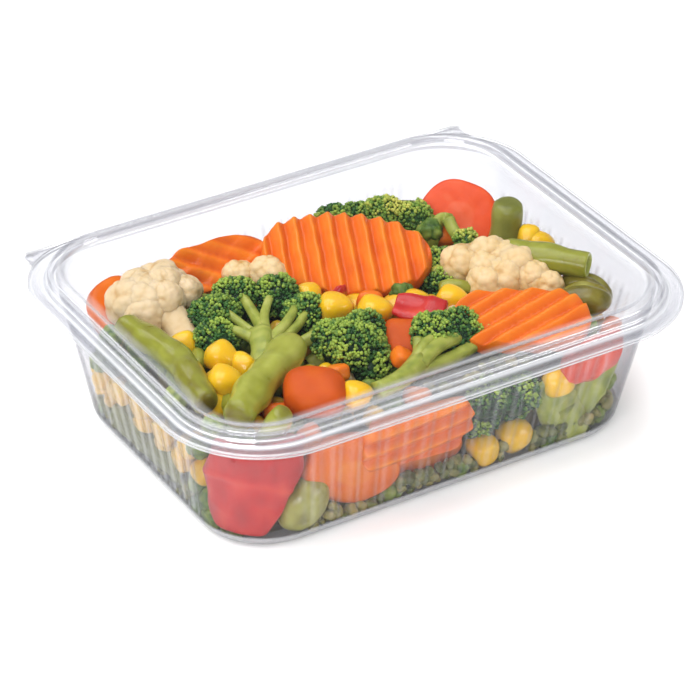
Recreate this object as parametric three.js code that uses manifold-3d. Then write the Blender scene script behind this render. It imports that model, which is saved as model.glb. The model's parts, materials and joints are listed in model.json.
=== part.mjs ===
// Hinged clear takeaway box, shut, filled with cooked mixed vegetables.
// Millimetres, +Z up, X along the long side, the fold of the lid at +Y.

import * as THREE from 'three';
import { mergeVertices } from 'three/addons/utils/BufferGeometryUtils.js';
import Module from 'manifold-3d';

const wasm = await Module();
wasm.setup();

// Box sizes. Half sizes are measured from the middle of the tray.
const WALL = 0.8;
const GAP = 0.3;
const BOTTOM = { halfX: 76.8, halfY: 55.9, radius: 23 };
const TOP = { halfX: 84.4, halfY: 65.1, radius: 25, z: 46 };
const BOTTOM_EDGE = 4;
const RIB_DEPTH = 0.8;
const RIB_LOW = 6;
const RIB_HIGH = 39;
const RIB_FADE = 2.5;
const LONG_RIBS = 17;
const SHORT_RIBS = 11;
const FOOT = { halfX: 89, halfY: 69.6, radius: 29 };
const FLANGE = { halfX: 93.5, front: -76, back: 71.2, frontRadius: 35, backRadius: 28 };
const FLANGE_TOP = 49;
const FLANGE_DIP = 1.1;
const RIDGE_TOP = 54.6;
const PANEL_TOP = 52;
const LID_WALL = 0.7;
const CORNER_STEPS = 5;
const CORNER_SHARE = 0.4;
const BEAD_RISE = 2.6;
const FOLD = { left: -84.5, right: 85.5, front: 62, back: 72, round: 2, weld: 0.1 };

// The whole box is moved so that its outline is centred on the frame's origin.
const CENTRE_Y = -(FLANGE.front + FOLD.back) / 2;

const COLOURS = {
  clear: 0xe6e8ea, carrot: 0xee7a1e, carrotRed: 0xe8552b, cauliflower: 0xe9d3a6,
  broccoli: 0x4f7a35, broccoliPale: 0x9db544, bean: 0x93a23e, beanDark: 0x6f7a35,
  corn: 0xf2bd2a, pepper: 0xcf2430, olive: 0x8a8c48, mix: 0xb98a3c,
};

// A rounded rectangle seen from above, anticlockwise, starting at the right of the back right corner.
// Every point carries u, which runs from 0 to 4 round the box: a corner takes CORNER_SHARE of each
// unit and the straight side after it takes the rest.
function outline({ halfX, front, back, frontRadius, backRadius }, z) {
  const corners = [
    { x: halfX - backRadius, y: back - backRadius, r: backRadius },
    { x: -halfX + backRadius, y: back - backRadius, r: backRadius },
    { x: -halfX + frontRadius, y: front + frontRadius, r: frontRadius },
    { x: halfX - frontRadius, y: front + frontRadius, r: frontRadius },
  ];
  const points = [];
  corners.forEach(({ x, y, r }, corner) => {
    for (let step = 0; step <= CORNER_STEPS; step += 1) {
      const angle = (Math.PI / 2) * (corner + step / CORNER_STEPS);
      const place = new THREE.Vector3(x + r * Math.cos(angle), y + r * Math.sin(angle), z);
      points.push({ place, u: corner + (CORNER_SHARE * step) / CORNER_STEPS });
    }
  });
  return points;
}

function centred({ halfX, halfY, radius }, z, inset = 0) {
  const r = Math.max(radius - inset, 1);
  const size = { halfX: halfX - inset, front: inset - halfY, back: halfY - inset };
  return outline({ ...size, frontRadius: r, backRadius: r }, z);
}

// The tray's outer wall at a height, drawn in by an inset.
function wallLoop(z, inset) {
  const t = z / TOP.z;
  const size = {
    halfX: THREE.MathUtils.lerp(BOTTOM.halfX, TOP.halfX, t),
    halfY: THREE.MathUtils.lerp(BOTTOM.halfY, TOP.halfY, t),
    radius: THREE.MathUtils.lerp(BOTTOM.radius, TOP.radius, t),
  };
  return centred(size, z, inset);
}

// The same loop with upright flutes pressed into its four straight sides.
function ribbedLoop(z, inset) {
  const plain = wallLoop(z, inset);
  const points = [];
  plain.forEach((point, index) => {
    points.push(point);
    const next = plain[(index + 1) % plain.length];
    if (index % (CORNER_STEPS + 1) !== CORNER_STEPS) return;
    const side = Math.floor(index / (CORNER_STEPS + 1));
    const count = 2 * (side % 2 === 0 ? LONG_RIBS : SHORT_RIBS);
    const along = next.place.clone().sub(point.place).normalize();
    const inward = new THREE.Vector3(-along.y, along.x, 0);
    for (let step = 1; step < count; step += 1) {
      const place = point.place.clone().lerp(next.place, step / count);
      place.addScaledVector(inward, step % 2 === 1 ? RIB_DEPTH : 0);
      points.push({ place, u: side + CORNER_SHARE + ((1 - CORNER_SHARE) * step) / count });
    }
  });
  return points;
}

// A closed surface over a run of loops, with a cap over the first and the last one.
function shell(loops) {
  const positions = [];
  const indices = [];
  const starts = loops.map((loop) => {
    const start = positions.length / 3;
    loop.forEach(({ place }) => positions.push(place.x, place.y, place.z));
    return start;
  });
  for (let k = 0; k + 1 < loops.length; k += 1) {
    const [a, b] = [loops[k], loops[k + 1]];
    let i = 0;
    let j = 0;
    while (i < a.length || j < b.length) {
      const nextA = i + 1 < a.length ? a[i + 1].u : 4;
      const nextB = j + 1 < b.length ? b[j + 1].u : 4;
      const pa = starts[k] + (i % a.length);
      const pb = starts[k + 1] + (j % b.length);
      if (j >= b.length || (i < a.length && nextA <= nextB)) {
        indices.push(pa, pb, starts[k] + ((i + 1) % a.length));
        i += 1;
      } else {
        indices.push(pa, pb, starts[k + 1] + ((j + 1) % b.length));
        j += 1;
      }
    }
  }
  [0, loops.length - 1].forEach((k) => {
    const loop = loops[k];
    const centre = positions.length / 3;
    const middle = new THREE.Vector3();
    loop.forEach(({ place }) => middle.addScaledVector(place, 1 / loop.length));
    positions.push(middle.x, middle.y, middle.z);
    loop.forEach((_, i) => {
      const edge = [starts[k] + i, starts[k] + ((i + 1) % loop.length)];
      indices.push(centre, ...(k === 0 ? edge : edge.reverse()));
    });
  });
  const geometry = new THREE.BufferGeometry();
  geometry.setAttribute('position', new THREE.Float32BufferAttribute(positions, 3));
  geometry.setIndex(indices);
  return geometry;
}

// Between three.js geometry and solids that can be joined and cut.
function toSolid(geometry) {
  const bare = geometry.clone();
  bare.deleteAttribute('normal');
  bare.deleteAttribute('uv');
  const merged = mergeVertices(bare, 1e-4);
  const vertProperties = new Float32Array(merged.attributes.position.array);
  const triVerts = new Uint32Array(merged.index.array);
  return new wasm.Manifold(new wasm.Mesh({ numProp: 3, vertProperties, triVerts }));
}

function toGeometry(solid) {
  const mesh = solid.getMesh();
  const geometry = new THREE.BufferGeometry();
  const count = mesh.vertProperties.length / mesh.numProp;
  const positions = new Float32Array(count * 3);
  for (let i = 0; i < count; i += 1) {
    for (let axis = 0; axis < 3; axis += 1) {
      positions[3 * i + axis] = mesh.vertProperties[mesh.numProp * i + axis];
    }
  }
  geometry.setAttribute('position', new THREE.BufferAttribute(positions, 3));
  geometry.setIndex(new THREE.BufferAttribute(new Uint32Array(mesh.triVerts), 1));
  geometry.computeVertexNormals();
  return geometry;
}

function join(geometries) {
  return geometries.map(toSolid).reduce((whole, part) => whole.add(part));
}

function largestPiece(solid) {
  return solid.decompose().reduce((best, part) => (part.volume() > best.volume() ? part : best));
}

// The strip of sheet along the back that is folded to make the hinge. It lies outside the flange's
// edge, which it joins, and runs on past the round corners to its own square ends.
function foldStrip(bottom, thickness) {
  const { left, right, front, back, round, weld } = FOLD;
  const edge = new THREE.Shape();
  edge.moveTo(left, front);
  edge.lineTo(right, front);
  edge.lineTo(right, back);
  edge.lineTo(left + round, back);
  edge.absarc(left + round, back - round, round, Math.PI / 2, Math.PI, false);
  edge.closePath();
  const strip = new THREE.ExtrudeGeometry(edge, { depth: thickness, bevelEnabled: false, curveSegments: 3 });
  const inside = {
    halfX: FLANGE.halfX - weld,
    front: FLANGE.front + weld,
    back: FLANGE.back - weld,
    frontRadius: FLANGE.frontRadius - weld,
    backRadius: FLANGE.backRadius - weld,
  };
  const room = shell([outline(inside, bottom + 2 * thickness), outline(inside, bottom - thickness)]);
  return toSolid(strip.translate(0, 0, bottom)).subtract(toSolid(room));
}

// One closed run of loops: up the inside of the wall, over the rim's bead, out along the flange and
// back down the outside.
function tray() {
  const bend = BOTTOM_EDGE * (1 - Math.SQRT1_2);
  const innerBend = BOTTOM_EDGE - (BOTTOM_EDGE - WALL) * Math.SQRT1_2;
  const flangeUnder = FLANGE_TOP - WALL;
  const beadTop = FLANGE_TOP + BEAD_RISE;
  const loops = [
    wallLoop(WALL, BOTTOM_EDGE),
    wallLoop(innerBend, innerBend),
    wallLoop(BOTTOM_EDGE, WALL),
    ribbedLoop(RIB_LOW, WALL),
    ribbedLoop(RIB_HIGH, WALL),
    wallLoop(RIB_HIGH + RIB_FADE, WALL),
    centred(FOOT, TOP.z, 5.3),
    centred(FOOT, beadTop - 0.4, 4.9),
    centred(FOOT, beadTop, 4.5),
    centred(FOOT, beadTop, 3.3),
    centred(FOOT, beadTop - 0.4, 2.9),
    centred(FOOT, FLANGE_TOP - 1.3, 1.9),
    centred(FOOT, FLANGE_TOP - FLANGE_DIP, 0.4),
    outline(FLANGE, FLANGE_TOP),
    outline(FLANGE, flangeUnder),
    centred(FOOT, flangeUnder - FLANGE_DIP, 0.8),
    centred(FOOT, flangeUnder - 1.3, 2.4),
    centred(FOOT, beadTop - 0.9, 3.5),
    centred(FOOT, beadTop - 0.9, 4.1),
    centred(FOOT, TOP.z, 4.5),
    wallLoop(RIB_HIGH + RIB_FADE, 0),
    ribbedLoop(RIB_HIGH, 0),
    ribbedLoop(RIB_LOW, 0),
    wallLoop(BOTTOM_EDGE, 0),
    wallLoop(bend, bend),
    wallLoop(0, BOTTOM_EDGE),
  ];
  return toSolid(shell(loops)).add(foldStrip(flangeUnder, WALL));
}

// The lid's sheet: a recessed panel inside a raised ridge, then a flange that follows the tray's.
function lid() {
  const flangeUnder = FLANGE_TOP + GAP;
  const flangeTop = flangeUnder + LID_WALL;
  const loops = [
    centred(FOOT, PANEL_TOP, 7.2),
    centred(FOOT, RIDGE_TOP - 0.4, 6),
    centred(FOOT, RIDGE_TOP, 5.2),
    centred(FOOT, RIDGE_TOP - 0.7, 2.6),
    centred(FOOT, RIDGE_TOP - 1.4, 1.8),
    centred(FOOT, flangeTop + 1, 1.3),
    centred(FOOT, flangeTop + 0.8, 0.7),
    centred(FOOT, flangeTop - FLANGE_DIP, 0),
    outline(FLANGE, flangeTop),
    outline(FLANGE, flangeUnder),
    centred(FOOT, flangeUnder - FLANGE_DIP + 0.1, 0.4),
    centred(FOOT, flangeTop + 0.2, 1.3),
    centred(FOOT, flangeTop + 0.5, 1.9),
    centred(FOOT, RIDGE_TOP - 1.8, 2.5),
    centred(FOOT, RIDGE_TOP - 1.3, 3),
    centred(FOOT, RIDGE_TOP - 0.7, 5),
    centred(FOOT, RIDGE_TOP - 1, 5.3),
    centred(FOOT, PANEL_TOP - LID_WALL, 6.7),
  ];
  return toSolid(shell(loops)).add(foldStrip(flangeUnder, LID_WALL));
}

// The room that the food may fill: inside the walls and under the lid's panel.
function foodRoom() {
  const wall = WALL + RIB_DEPTH + GAP;
  const low = WALL + GAP;
  const top = wallLoop(RIB_HIGH, wall);
  top.forEach(({ place }) => place.setZ(PANEL_TOP - LID_WALL - GAP));
  const loops = [
    top,
    wallLoop(RIB_HIGH, wall),
    wallLoop(BOTTOM_EDGE, wall),
    wallLoop(low + 0.6, BOTTOM_EDGE),
    wallLoop(low, BOTTOM_EDGE + 1.5),
  ];
  return toSolid(shell(loops));
}

// Moves every vertex by a rule that depends only on its place.
function reshape(geometry, rule) {
  const position = geometry.attributes.position;
  const point = new THREE.Vector3();
  for (let i = 0; i < position.count; i += 1) {
    point.fromBufferAttribute(position, i);
    rule(point);
    position.setXYZ(i, point.x, point.y, point.z);
  }
  return geometry;
}

// A carrot slice cut with a wavy blade: an oval plate whose two faces carry the same ridges.
function crinkleSlice({ length, width, thick, ridges = 8, depth = 1.1, blunt = 0.3 }, grow) {
  const plate = new THREE.BoxGeometry(length + 2 * grow, 1, thick + 2 * grow, 2 * ridges, 1, 1);
  return reshape(plate, (p) => {
    const t = (2 * p.x) / (length + 2 * grow);
    const ridge = Math.round((t + 1) * ridges) % 2 === 1 ? depth : -depth;
    p.y *= (width + 2 * grow) * (blunt + (1 - blunt) * Math.sqrt(Math.max(0, 1 - t * t)));
    p.z += ridge * 0.5;
  });
}

// A round slice or lump: a disc with a softened edge.
function roundSlice({ radius, thick, squash = 1 }, grow) {
  const r = radius + grow;
  const h = thick / 2 + grow;
  const soft = Math.min(h, 0.3 * r) * 0.7;
  const profile = [[0, -h], [r - soft, -h], [r, soft - h], [r, h - soft], [r - soft, h], [0, h]];
  const disc = new THREE.LatheGeometry(profile.map(([x, y]) => new THREE.Vector2(x, y)), 12);
  return disc.rotateX(Math.PI / 2).scale(1, squash, 1);
}

// A cut length of bean: an eight-sided tube that bows sideways, with flat ends.
function bean({ length, radius, bow = 0 }, grow) {
  const tube = new THREE.CylinderGeometry(radius + grow, radius + grow, length + 2 * grow, 8, bow ? 4 : 1);
  return reshape(tube.rotateZ(Math.PI / 2), (p) => {
    const t = (2 * p.x) / length;
    p.y += bow * (1 - t * t);
    const taper = 1 - 0.12 * t * t;
    p.z *= taper;
  });
}

// A corn kernel: a stubby egg, narrower where it was cut from the cob.
function kernel({ size, stretch = 1.15 }, grow) {
  const r = size / 2 + grow;
  return reshape(new THREE.SphereGeometry(r, 6, 3).rotateZ(Math.PI / 2), (p) => {
    const narrow = 1 - 0.22 * (p.x / r);
    p.y *= narrow;
    p.z *= narrow * 0.9;
    p.x *= stretch;
  });
}

// An egg-shaped piece such as an olive or a whole lump.
function egg({ length, width, height }, grow) {
  const ball = new THREE.SphereGeometry(0.5, 8, 5).rotateZ(Math.PI / 2);
  return ball.scale(length + 2 * grow, width + 2 * grow, height + 2 * grow);
}

// A strip of pepper: a thick plate curled about its long axis, with uneven edges.
function pepperPiece({ length, width, thick, curl }, grow) {
  const plate = new THREE.BoxGeometry(length + 2 * grow, width + 2 * grow, thick + 2 * grow, 2, 5, 1);
  return reshape(plate, (p) => {
    const edge = 1 - 0.22 * ((2 * p.x) / length) ** 2;
    const turn = (p.y * edge) / curl;
    const r = curl + p.z;
    p.y = r * Math.sin(turn);
    p.z = r * Math.cos(turn) - curl;
  });
}

// Lumps as unevenly domed balls: a smooth ball pushed in and out by three crossing waves.
function lump([x, y, z, r], relief, grow) {
  const ball = new THREE.SphereGeometry(r + grow, 7, 4);
  reshape(ball, (p) => {
    const wave = Math.sin(p.x * 1.1 + r) + Math.sin(p.y * 1.2 + 2 * r) + Math.sin(p.z * 1.3);
    p.multiplyScalar(1 + (relief * wave) / 3);
  });
  return ball.translate(x, y, z);
}

// A round tapered stalk from one place to another.
function stalk([from, to, fromRadius, toRadius], grow) {
  const a = new THREE.Vector3(...from);
  const b = new THREE.Vector3(...to);
  const rod = new THREE.CylinderGeometry(toRadius + grow, fromRadius + grow, a.distanceTo(b), 6, 1);
  const along = b.clone().sub(a).normalize();
  const turn = new THREE.Quaternion().setFromUnitVectors(new THREE.Vector3(0, 1, 0), along);
  return rod.applyQuaternion(turn).translate(...a.add(b).multiplyScalar(0.5).toArray());
}

// A floret of broccoli or cauliflower: lumps on stalks, given in the box's own places.
function floret({ lumps, stalks = [], relief = 0.1 }, grow) {
  const parts = lumps.map((one) => lump(one, relief, grow));
  return [...parts, ...stalks.map((one) => stalk(one, grow))];
}

const FORMS = { crinkleSlice, roundSlice, bean, kernel, egg, pepperPiece, floret };

// Every vegetable piece, from the top of the heap down. A later piece is cut back where an earlier
// one lies on it. at is its middle, turn is yaw, pitch and roll in degrees.
const PIECES = [
  {
    name: 'carrot_slice_large', form: 'crinkleSlice', colour: 'carrot',
    at: [14.5, 28.8, 40], turn: [-40, 0, 21],
    size: { length: 57, width: 33, thick: 7, ridges: 10, depth: 2 },
  },
  {
    name: 'bean_thick', form: 'bean', colour: 'bean', at: [-49, -26.5, 43.4], turn: [37, 0, 0],
    size: { length: 40, radius: 6, bow: 1 },
  },
  {
    name: 'bean_left', form: 'bean', colour: 'bean', at: [-69, 1, 41], turn: [90, 0, 0],
    size: { length: 52, radius: 5.4, bow: -2 },
  },
  {
    name: 'broccoli_middle', form: 'floret', colour: 'broccoli',
    size: {
      lumps: [[-11, -20, 38, 10], [-15, -12, 38, 8], [-5, -14, 39, 8], [-9, -24, 34, 8]],
      stalks: [[[-22, -10, 30], [-12, -16, 36], 4, 5]],
    },
  },
  {
    name: 'broccoli_front', form: 'floret', colour: 'broccoli',
    size: {
      lumps: [[12, -29, 41, 8], [21, -30, 40, 8], [28, -34, 38, 7]],
      stalks: [[[-20, -46, 40], [4, -38, 41], 3.5, 4], [[4, -38, 41], [13, -31, 41], 4, 5]],
    },
  },
  {
    name: 'broccoli_large', form: 'floret', colour: 'broccoli',
    size: {
      lumps: [[-47, 8, 38, 8], [-41, 20, 39, 9], [-29, 24, 40, 9], [-18, 18, 40, 9], [-15, 6, 39, 8]],
      stalks: [
        [[-42, -13, 37], [-32, 4, 38], 5, 8],
        [[-38, -4, 38], [-45, 8, 39], 3, 3],
        [[-34, 2, 39], [-32, 20, 41], 3, 3],
        [[-32, 2, 39], [-19, 14, 40], 4, 3],
      ],
    },
  },
  {
    name: 'cauliflower_left', form: 'floret', colour: 'cauliflower',
    size: {
      lumps: [[-60, 43, 38, 10], [-48, 46, 40, 9], [-43, 37, 40, 7], [-59, 34, 37, 9], [-52, 35, 42, 8]],
      stalks: [[[-53, 17, 33], [-53, 34, 38], 5, 7]],
      relief: 0.05,
    },
  },
  {
    name: 'bean_right', form: 'bean', colour: 'bean', at: [67, -13, 44.5], turn: [-49, 0, 0],
    size: { length: 27, radius: 4.6 },
  },
  {
    name: 'cauliflower_right', form: 'floret', colour: 'cauliflower',
    size: {
      lumps: [[45, 5, 40, 8], [53, 1, 41, 9], [57, -9, 41, 9], [61, -20, 39, 7], [47, -8, 38, 8]],
      relief: 0.05,
    },
  },
  {
    name: 'carrot_slice_right', form: 'crinkleSlice', colour: 'carrot',
    at: [40, -37.5, 42], turn: [61, -20, 0],
    size: { length: 22, width: 45, thick: 6, ridges: 4, depth: 1.6, blunt: 0.5 },
  },
  {
    name: 'pepper_top', form: 'pepperPiece', colour: 'pepper', at: [13.7, -17.9, 45], turn: [-45, 0, 12],
    size: { length: 17, width: 11, thick: 3.4, curl: 11 },
  },
  {
    name: 'carrot_lump_front', form: 'roundSlice', colour: 'carrotRed',
    at: [-37.8, -38, 41], turn: [-31, 0, 20],
    size: { radius: 10, thick: 13, squash: 0.85 },
  },
  {
    name: 'carrot_lump_middle', form: 'roundSlice', colour: 'carrotRed',
    at: [5.2, -22.4, 37], turn: [-31, 0, 30],
    size: { radius: 8, thick: 12 },
  },
  {
    name: 'carrot_slice_back_left', form: 'crinkleSlice', colour: 'carrotRed',
    at: [-24, 51, 36.5], turn: [90, -40, 0],
    size: { length: 17, width: 42, thick: 5, ridges: 3, depth: 1.4, blunt: 0.4 },
  },
  {
    name: 'carrot_slice_far_left', form: 'roundSlice', colour: 'carrot', at: [-62, 46, 33], turn: [20, 0, 38],
    size: { radius: 13, thick: 6 },
  },
  {
    name: 'carrot_slice_round', form: 'roundSlice', colour: 'carrotRed', at: [66, 40, 34], turn: [-31, 0, 48],
    size: { radius: 13.5, thick: 6 },
  },
  {
    name: 'bean_upright', form: 'bean', colour: 'beanDark', at: [71.5, 19, 35], turn: [-31, -88, 0],
    size: { length: 22, radius: 5.6 },
  },
  {
    name: 'olive_right_a', form: 'egg', colour: 'olive', at: [68.5, -33, 39], turn: [-40, 0, 0],
    size: { length: 17, width: 13, height: 11 },
  },
  {
    name: 'olive_right_b', form: 'egg', colour: 'olive', at: [74, -24, 35], turn: [-60, 0, 0],
    size: { length: 20, width: 13, height: 14 },
  },
  {
    name: 'broccoli_back_dark', form: 'floret', colour: 'broccoli',
    size: { lumps: [[26, 56, 36, 7], [34, 54, 35, 7]] },
  },
  {
    name: 'broccoli_back_pale', form: 'floret', colour: 'broccoliPale',
    size: { lumps: [[42, 50, 36, 8], [50, 43, 36, 7]], stalks: [[[48, 30, 34], [50, 42, 35], 3, 5]] },
  },
  {
    name: 'bean_back', form: 'bean', colour: 'beanDark', at: [49, 56.5, 33], turn: [-31, 0, 0],
    size: { length: 18, radius: 4.4 },
  },
  {
    name: 'broccoli_stem', form: 'floret', colour: 'broccoliPale',
    size: {
      lumps: [[56, 20, 38, 4]],
      stalks: [[[56, 20, 38], [56, 31, 41], 2.4, 2.2], [[56, 31, 41], [53, 34, 38], 2.2, 2.4]],
    },
  },
  {
    name: 'broccoli_right_small', form: 'floret', colour: 'broccoli',
    size: { lumps: [[42, 14, 34, 8], [38, 6, 33, 7]] },
  },
  {
    name: 'cauliflower_small', form: 'floret', colour: 'cauliflower',
    size: { lumps: [[-19, 43, 36, 6], [-11, 37, 37, 7]], relief: 0.05 },
  },
  {
    name: 'stem_front_left', form: 'bean', colour: 'broccoliPale', at: [-56.5, -44, 37], turn: [-60, -62, 0],
    size: { length: 14, radius: 4.4 },
  },
  {
    name: 'olive_front', form: 'egg', colour: 'olive', at: [-51, -48.5, 10.5], turn: [0, -50, 0],
    size: { length: 20, width: 15, height: 16 },
  },
  {
    name: 'pepper_corner', form: 'pepperPiece', colour: 'pepper', at: [-67, -50, 21.5], turn: [57, -96, 0],
    size: { length: 35, width: 33, thick: 5, curl: 19 },
  },
  {
    name: 'carrot_slice_front_top', form: 'crinkleSlice', colour: 'carrot',
    at: [-11, -55, 26], turn: [90, -101, 0],
    size: { length: 19, width: 41, thick: 6, ridges: 3, depth: 1.6, blunt: 0.7 },
  },
  {
    name: 'carrot_slice_front_low', form: 'roundSlice', colour: 'carrot',
    at: [-33, -51.5, 19], turn: [0, 35, 101],
    size: { radius: 18, thick: 6, squash: 0.72 },
  },
  {
    name: 'carrot_slice_front_right', form: 'roundSlice', colour: 'carrotRed',
    at: [-3, -47.5, 12], turn: [0, 0, 101],
    size: { radius: 13, thick: 6, squash: 0.7 },
  },
  {
    name: 'broccoli_front_wall', form: 'floret', colour: 'broccoli',
    size: { lumps: [[19, -50, 26, 8], [30, -50, 24, 8], [17, -46, 17, 8], [30, -45, 17, 7]] },
  },
  {
    name: 'broccoli_front_right', form: 'floret', colour: 'broccoliPale',
    size: {
      lumps: [[46, -46, 17, 8], [61, -44, 16, 9]],
      stalks: [[[52, -46, 3], [47, -48, 15], 4, 5], [[52, -46, 3], [60, -45, 14], 4, 5]],
    },
  },
  {
    name: 'pepper_right', form: 'pepperPiece', colour: 'pepper', at: [56, -55, 31.5], turn: [8, 0, 98],
    size: { length: 24, width: 17, thick: 5, curl: 26 },
  },
  {
    name: 'carrot_corner_right', form: 'roundSlice', colour: 'carrot', at: [72, -41, 24], turn: [42, 0, 97],
    size: { radius: 10, thick: 6 },
  },
  {
    name: 'carrot_slice_right_wall', form: 'crinkleSlice', colour: 'carrot',
    at: [73.5, 0, 20], turn: [90, 0, 99],
    size: { length: 40, width: 22, thick: 6, ridges: 6, depth: 1.6 },
  },
  {
    name: 'bean_right_wall', form: 'bean', colour: 'bean', at: [70, 36, 12], turn: [-70, 20, 0],
    size: { length: 30, radius: 5.2 },
  },
  {
    name: 'carrot_slice_back_wall', form: 'crinkleSlice', colour: 'carrot',
    at: [0, 53.5, 20], turn: [180, 8, 98],
    size: { length: 46, width: 24, thick: 6, ridges: 8, depth: 1.6 },
  },
  {
    name: 'broccoli_back_wall', form: 'floret', colour: 'broccoli',
    size: { lumps: [[34, 48, 20, 9], [43, 46, 15, 8]], stalks: [[[24, 50, 8], [33, 49, 16], 4, 5]] },
  },
  {
    name: 'pepper_back_wall', form: 'pepperPiece', colour: 'pepper', at: [-36, 52, 17], turn: [180, 0, 96],
    size: { length: 24, width: 20, thick: 5, curl: 22 },
  },
  {
    name: 'bean_left_wall', form: 'bean', colour: 'beanDark', at: [-71.5, 6, 8.5], turn: [90, 4, 0],
    size: { length: 46, radius: 5.6 },
  },
];

// Corn kernels that lie clear on the heap or against the wall, each a piece of its own.
const KERNELS = [
  { at: [-52.4, -4.7, 41], turn: [-60, 20], size: 10.5 },
  { at: [-47.4, -10.1, 39], turn: [10, 40], size: 9 },
  { at: [-59.5, -19.3, 42.5], turn: [-30, 10], size: 10.5 },
  { at: [-6.3, 2.1, 41], turn: [-31, 0], size: 11 },
  { at: [3, -7.6, 42], turn: [-31, 0], size: 11 },
  { at: [-27, -45.5, 41], turn: [-10, 0], size: 9.5 },
  { at: [29.8, -12.1, 40], turn: [-45, 0], size: 10 },
  { at: [76.4, 5.7, 38], turn: [-31, 0], size: 9 },
  { at: [18, -50, 6.5], turn: [0, 80], size: 10 },
  { at: [29.5, -50, 7.5], turn: [90, 80], size: 10 },
  { at: [43.5, -53.5, 26], turn: [90, 30], size: 10.5 },
  { at: [-76, 20, 22], turn: [90, 20], size: 9.5 },
  { at: [-76, 6, 24], turn: [60, 40], size: 9.5 },
  { at: [-76.5, -9, 23], turn: [110, 0], size: 9.5 },
  { at: [-74, -23, 25], turn: [90, 60], size: 9.5 },
];

const radians = THREE.MathUtils.degToRad;

function placed(geometry, { at = [0, 0, 0], turn = [0, 0, 0] }) {
  const [yaw, pitch, roll = 0] = turn.map(radians);
  const angles = new THREE.Euler(roll, pitch, yaw, 'ZYX');
  return geometry.applyMatrix4(new THREE.Matrix4().makeRotationFromEuler(angles)).translate(...at);
}

function shape(piece, grow) {
  const made = FORMS[piece.form](piece.size, grow);
  return join([made].flat().map((part) => placed(part, piece)));
}

function overlapping(a, b) {
  const [one, two] = [a.boundingBox(), b.boundingBox()];
  return [0, 1, 2].every((axis) => one.min[axis] < two.max[axis] && two.min[axis] < one.max[axis]);
}

// The loose small vegetables under and between the large pieces: a mound, low along the fold and the
// right end, drawn in from the walls, with kernels and dice fused to its sides and top.
const HEAP = { rings: 4, inset: 13, middle: 31, back: 23, right: 26, bumps: 0.9 };
const BITS = { kernel: 9, dice: 8, rows: [0.25, 0.58, 0.92], spacing: 17, inset: 8, top: 16 };

function heapTop(x, y) {
  const back = THREE.MathUtils.smoothstep(y, 10, TOP.halfY);
  const right = THREE.MathUtils.smoothstep(x, 40, TOP.halfX) * (1 - back);
  const bumps = HEAP.bumps * Math.sin(x / 4.1 + 1) * Math.cos(y / 3.7);
  return HEAP.middle - (HEAP.middle - HEAP.back) * back - (HEAP.middle - HEAP.right) * right + bumps;
}

function mound() {
  const rim = wallLoop(HEAP.back, HEAP.inset);
  const loops = [];
  for (let ring = 1; ring <= HEAP.rings; ring += 1) {
    const t = ring / HEAP.rings;
    loops.push(rim.map(({ place, u }) => {
      const [x, y] = [place.x * t, place.y * t];
      return { place: new THREE.Vector3(x, y, heapTop(x, y)), u };
    }));
  }
  loops.push(wallLoop(WALL + GAP, HEAP.inset));
  return toSolid(shell(loops));
}

// Where the small pieces lie: rows round the mound's side, at shares of its height there, then a grid
// over its top.
function bitPlaces() {
  const places = [];
  BITS.rows.forEach((share) => {
    const points = wallLoop(share * HEAP.middle, BITS.inset).map(({ place }) => place);
    points.forEach((point) => point.setZ(share * heapTop(point.x, point.y)));
    const path = new THREE.CatmullRomCurve3(points, true, 'catmullrom', 0);
    places.push(...path.getSpacedPoints(Math.round(path.getLength() / BITS.spacing)).slice(1));
  });
  const edge = HEAP.inset + BITS.kernel / 2;
  for (let y = edge - TOP.halfY; y < TOP.halfY - edge; y += BITS.top) {
    for (let x = edge - TOP.halfX; x < TOP.halfX - edge; x += BITS.top) {
      places.push(new THREE.Vector3(x, y, heapTop(x, y) + 2));
    }
  }
  return places;
}

// Small pieces that would cross a piece of their own are left out.
function heap(room, taken) {
  let seed = 11;
  const random = () => {
    seed = (seed * 16807) % 2147483647;
    return seed / 2147483647;
  };
  const bits = bitPlaces().map((place) => {
    const { kernel: size, dice } = BITS;
    const form = random() < 0.6 ? kernel({ size }, 0) : new THREE.BoxGeometry(dice, dice, dice);
    const turn = [360 * random(), 60 * random() - 30, 90 * random()];
    return toSolid(placed(form, { at: place.toArray(), turn }));
  });
  const apart = (one, bit) => !overlapping(one, bit) || one.intersect(bit).isEmpty();
  const clear = bits.filter((bit) => taken.every((one) => apart(one, bit)));
  return clear.reduce((whole, bit) => whole.add(bit), mound()).intersect(room);
}

function finish(name, solid, colour, roughness = 0.45) {
  const material = new THREE.MeshStandardMaterial({ color: COLOURS[colour], roughness, metalness: 0 });
  const mesh = new THREE.Mesh(toGeometry(solid), material);
  mesh.name = name;
  return mesh;
}

function food() {
  const room = foodRoom();
  const kernels = KERNELS.map(({ at, turn, size }, index) => (
    { name: `corn_kernel_${index + 1}`, form: 'kernel', colour: 'corn', at, turn, size: { size } }
  ));
  const kept = [];
  const meshes = [...PIECES, ...kernels].map((piece) => {
    let solid = shape(piece, 0).intersect(room);
    kept.filter((grown) => overlapping(grown, solid)).forEach((grown) => {
      solid = solid.subtract(grown);
    });
    kept.push(shape(piece, GAP));
    return finish(piece.name, largestPiece(solid), piece.colour);
  });
  const core = kept.reduce((solid, grown) => solid.subtract(grown), heap(room, kept));
  return [...meshes, finish('vegetable_heap', largestPiece(core), 'mix', 0.6)];
}

const box = new THREE.Group();
box.add(finish('tray', tray(), 'clear', 0.08), finish('lid', lid(), 'clear', 0.08), ...food());
box.position.y = CENTRE_Y;
box.updateMatrixWorld(true);

export default box;
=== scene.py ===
"""Clear hinged takeaway box of mixed vegetables: its sheet, its food and the studio round it.

Every length in the tables is in millimetres in the box's own frame, before the shift that centres its
outline, and becomes metres when a mesh is made.
"""

import json

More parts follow.
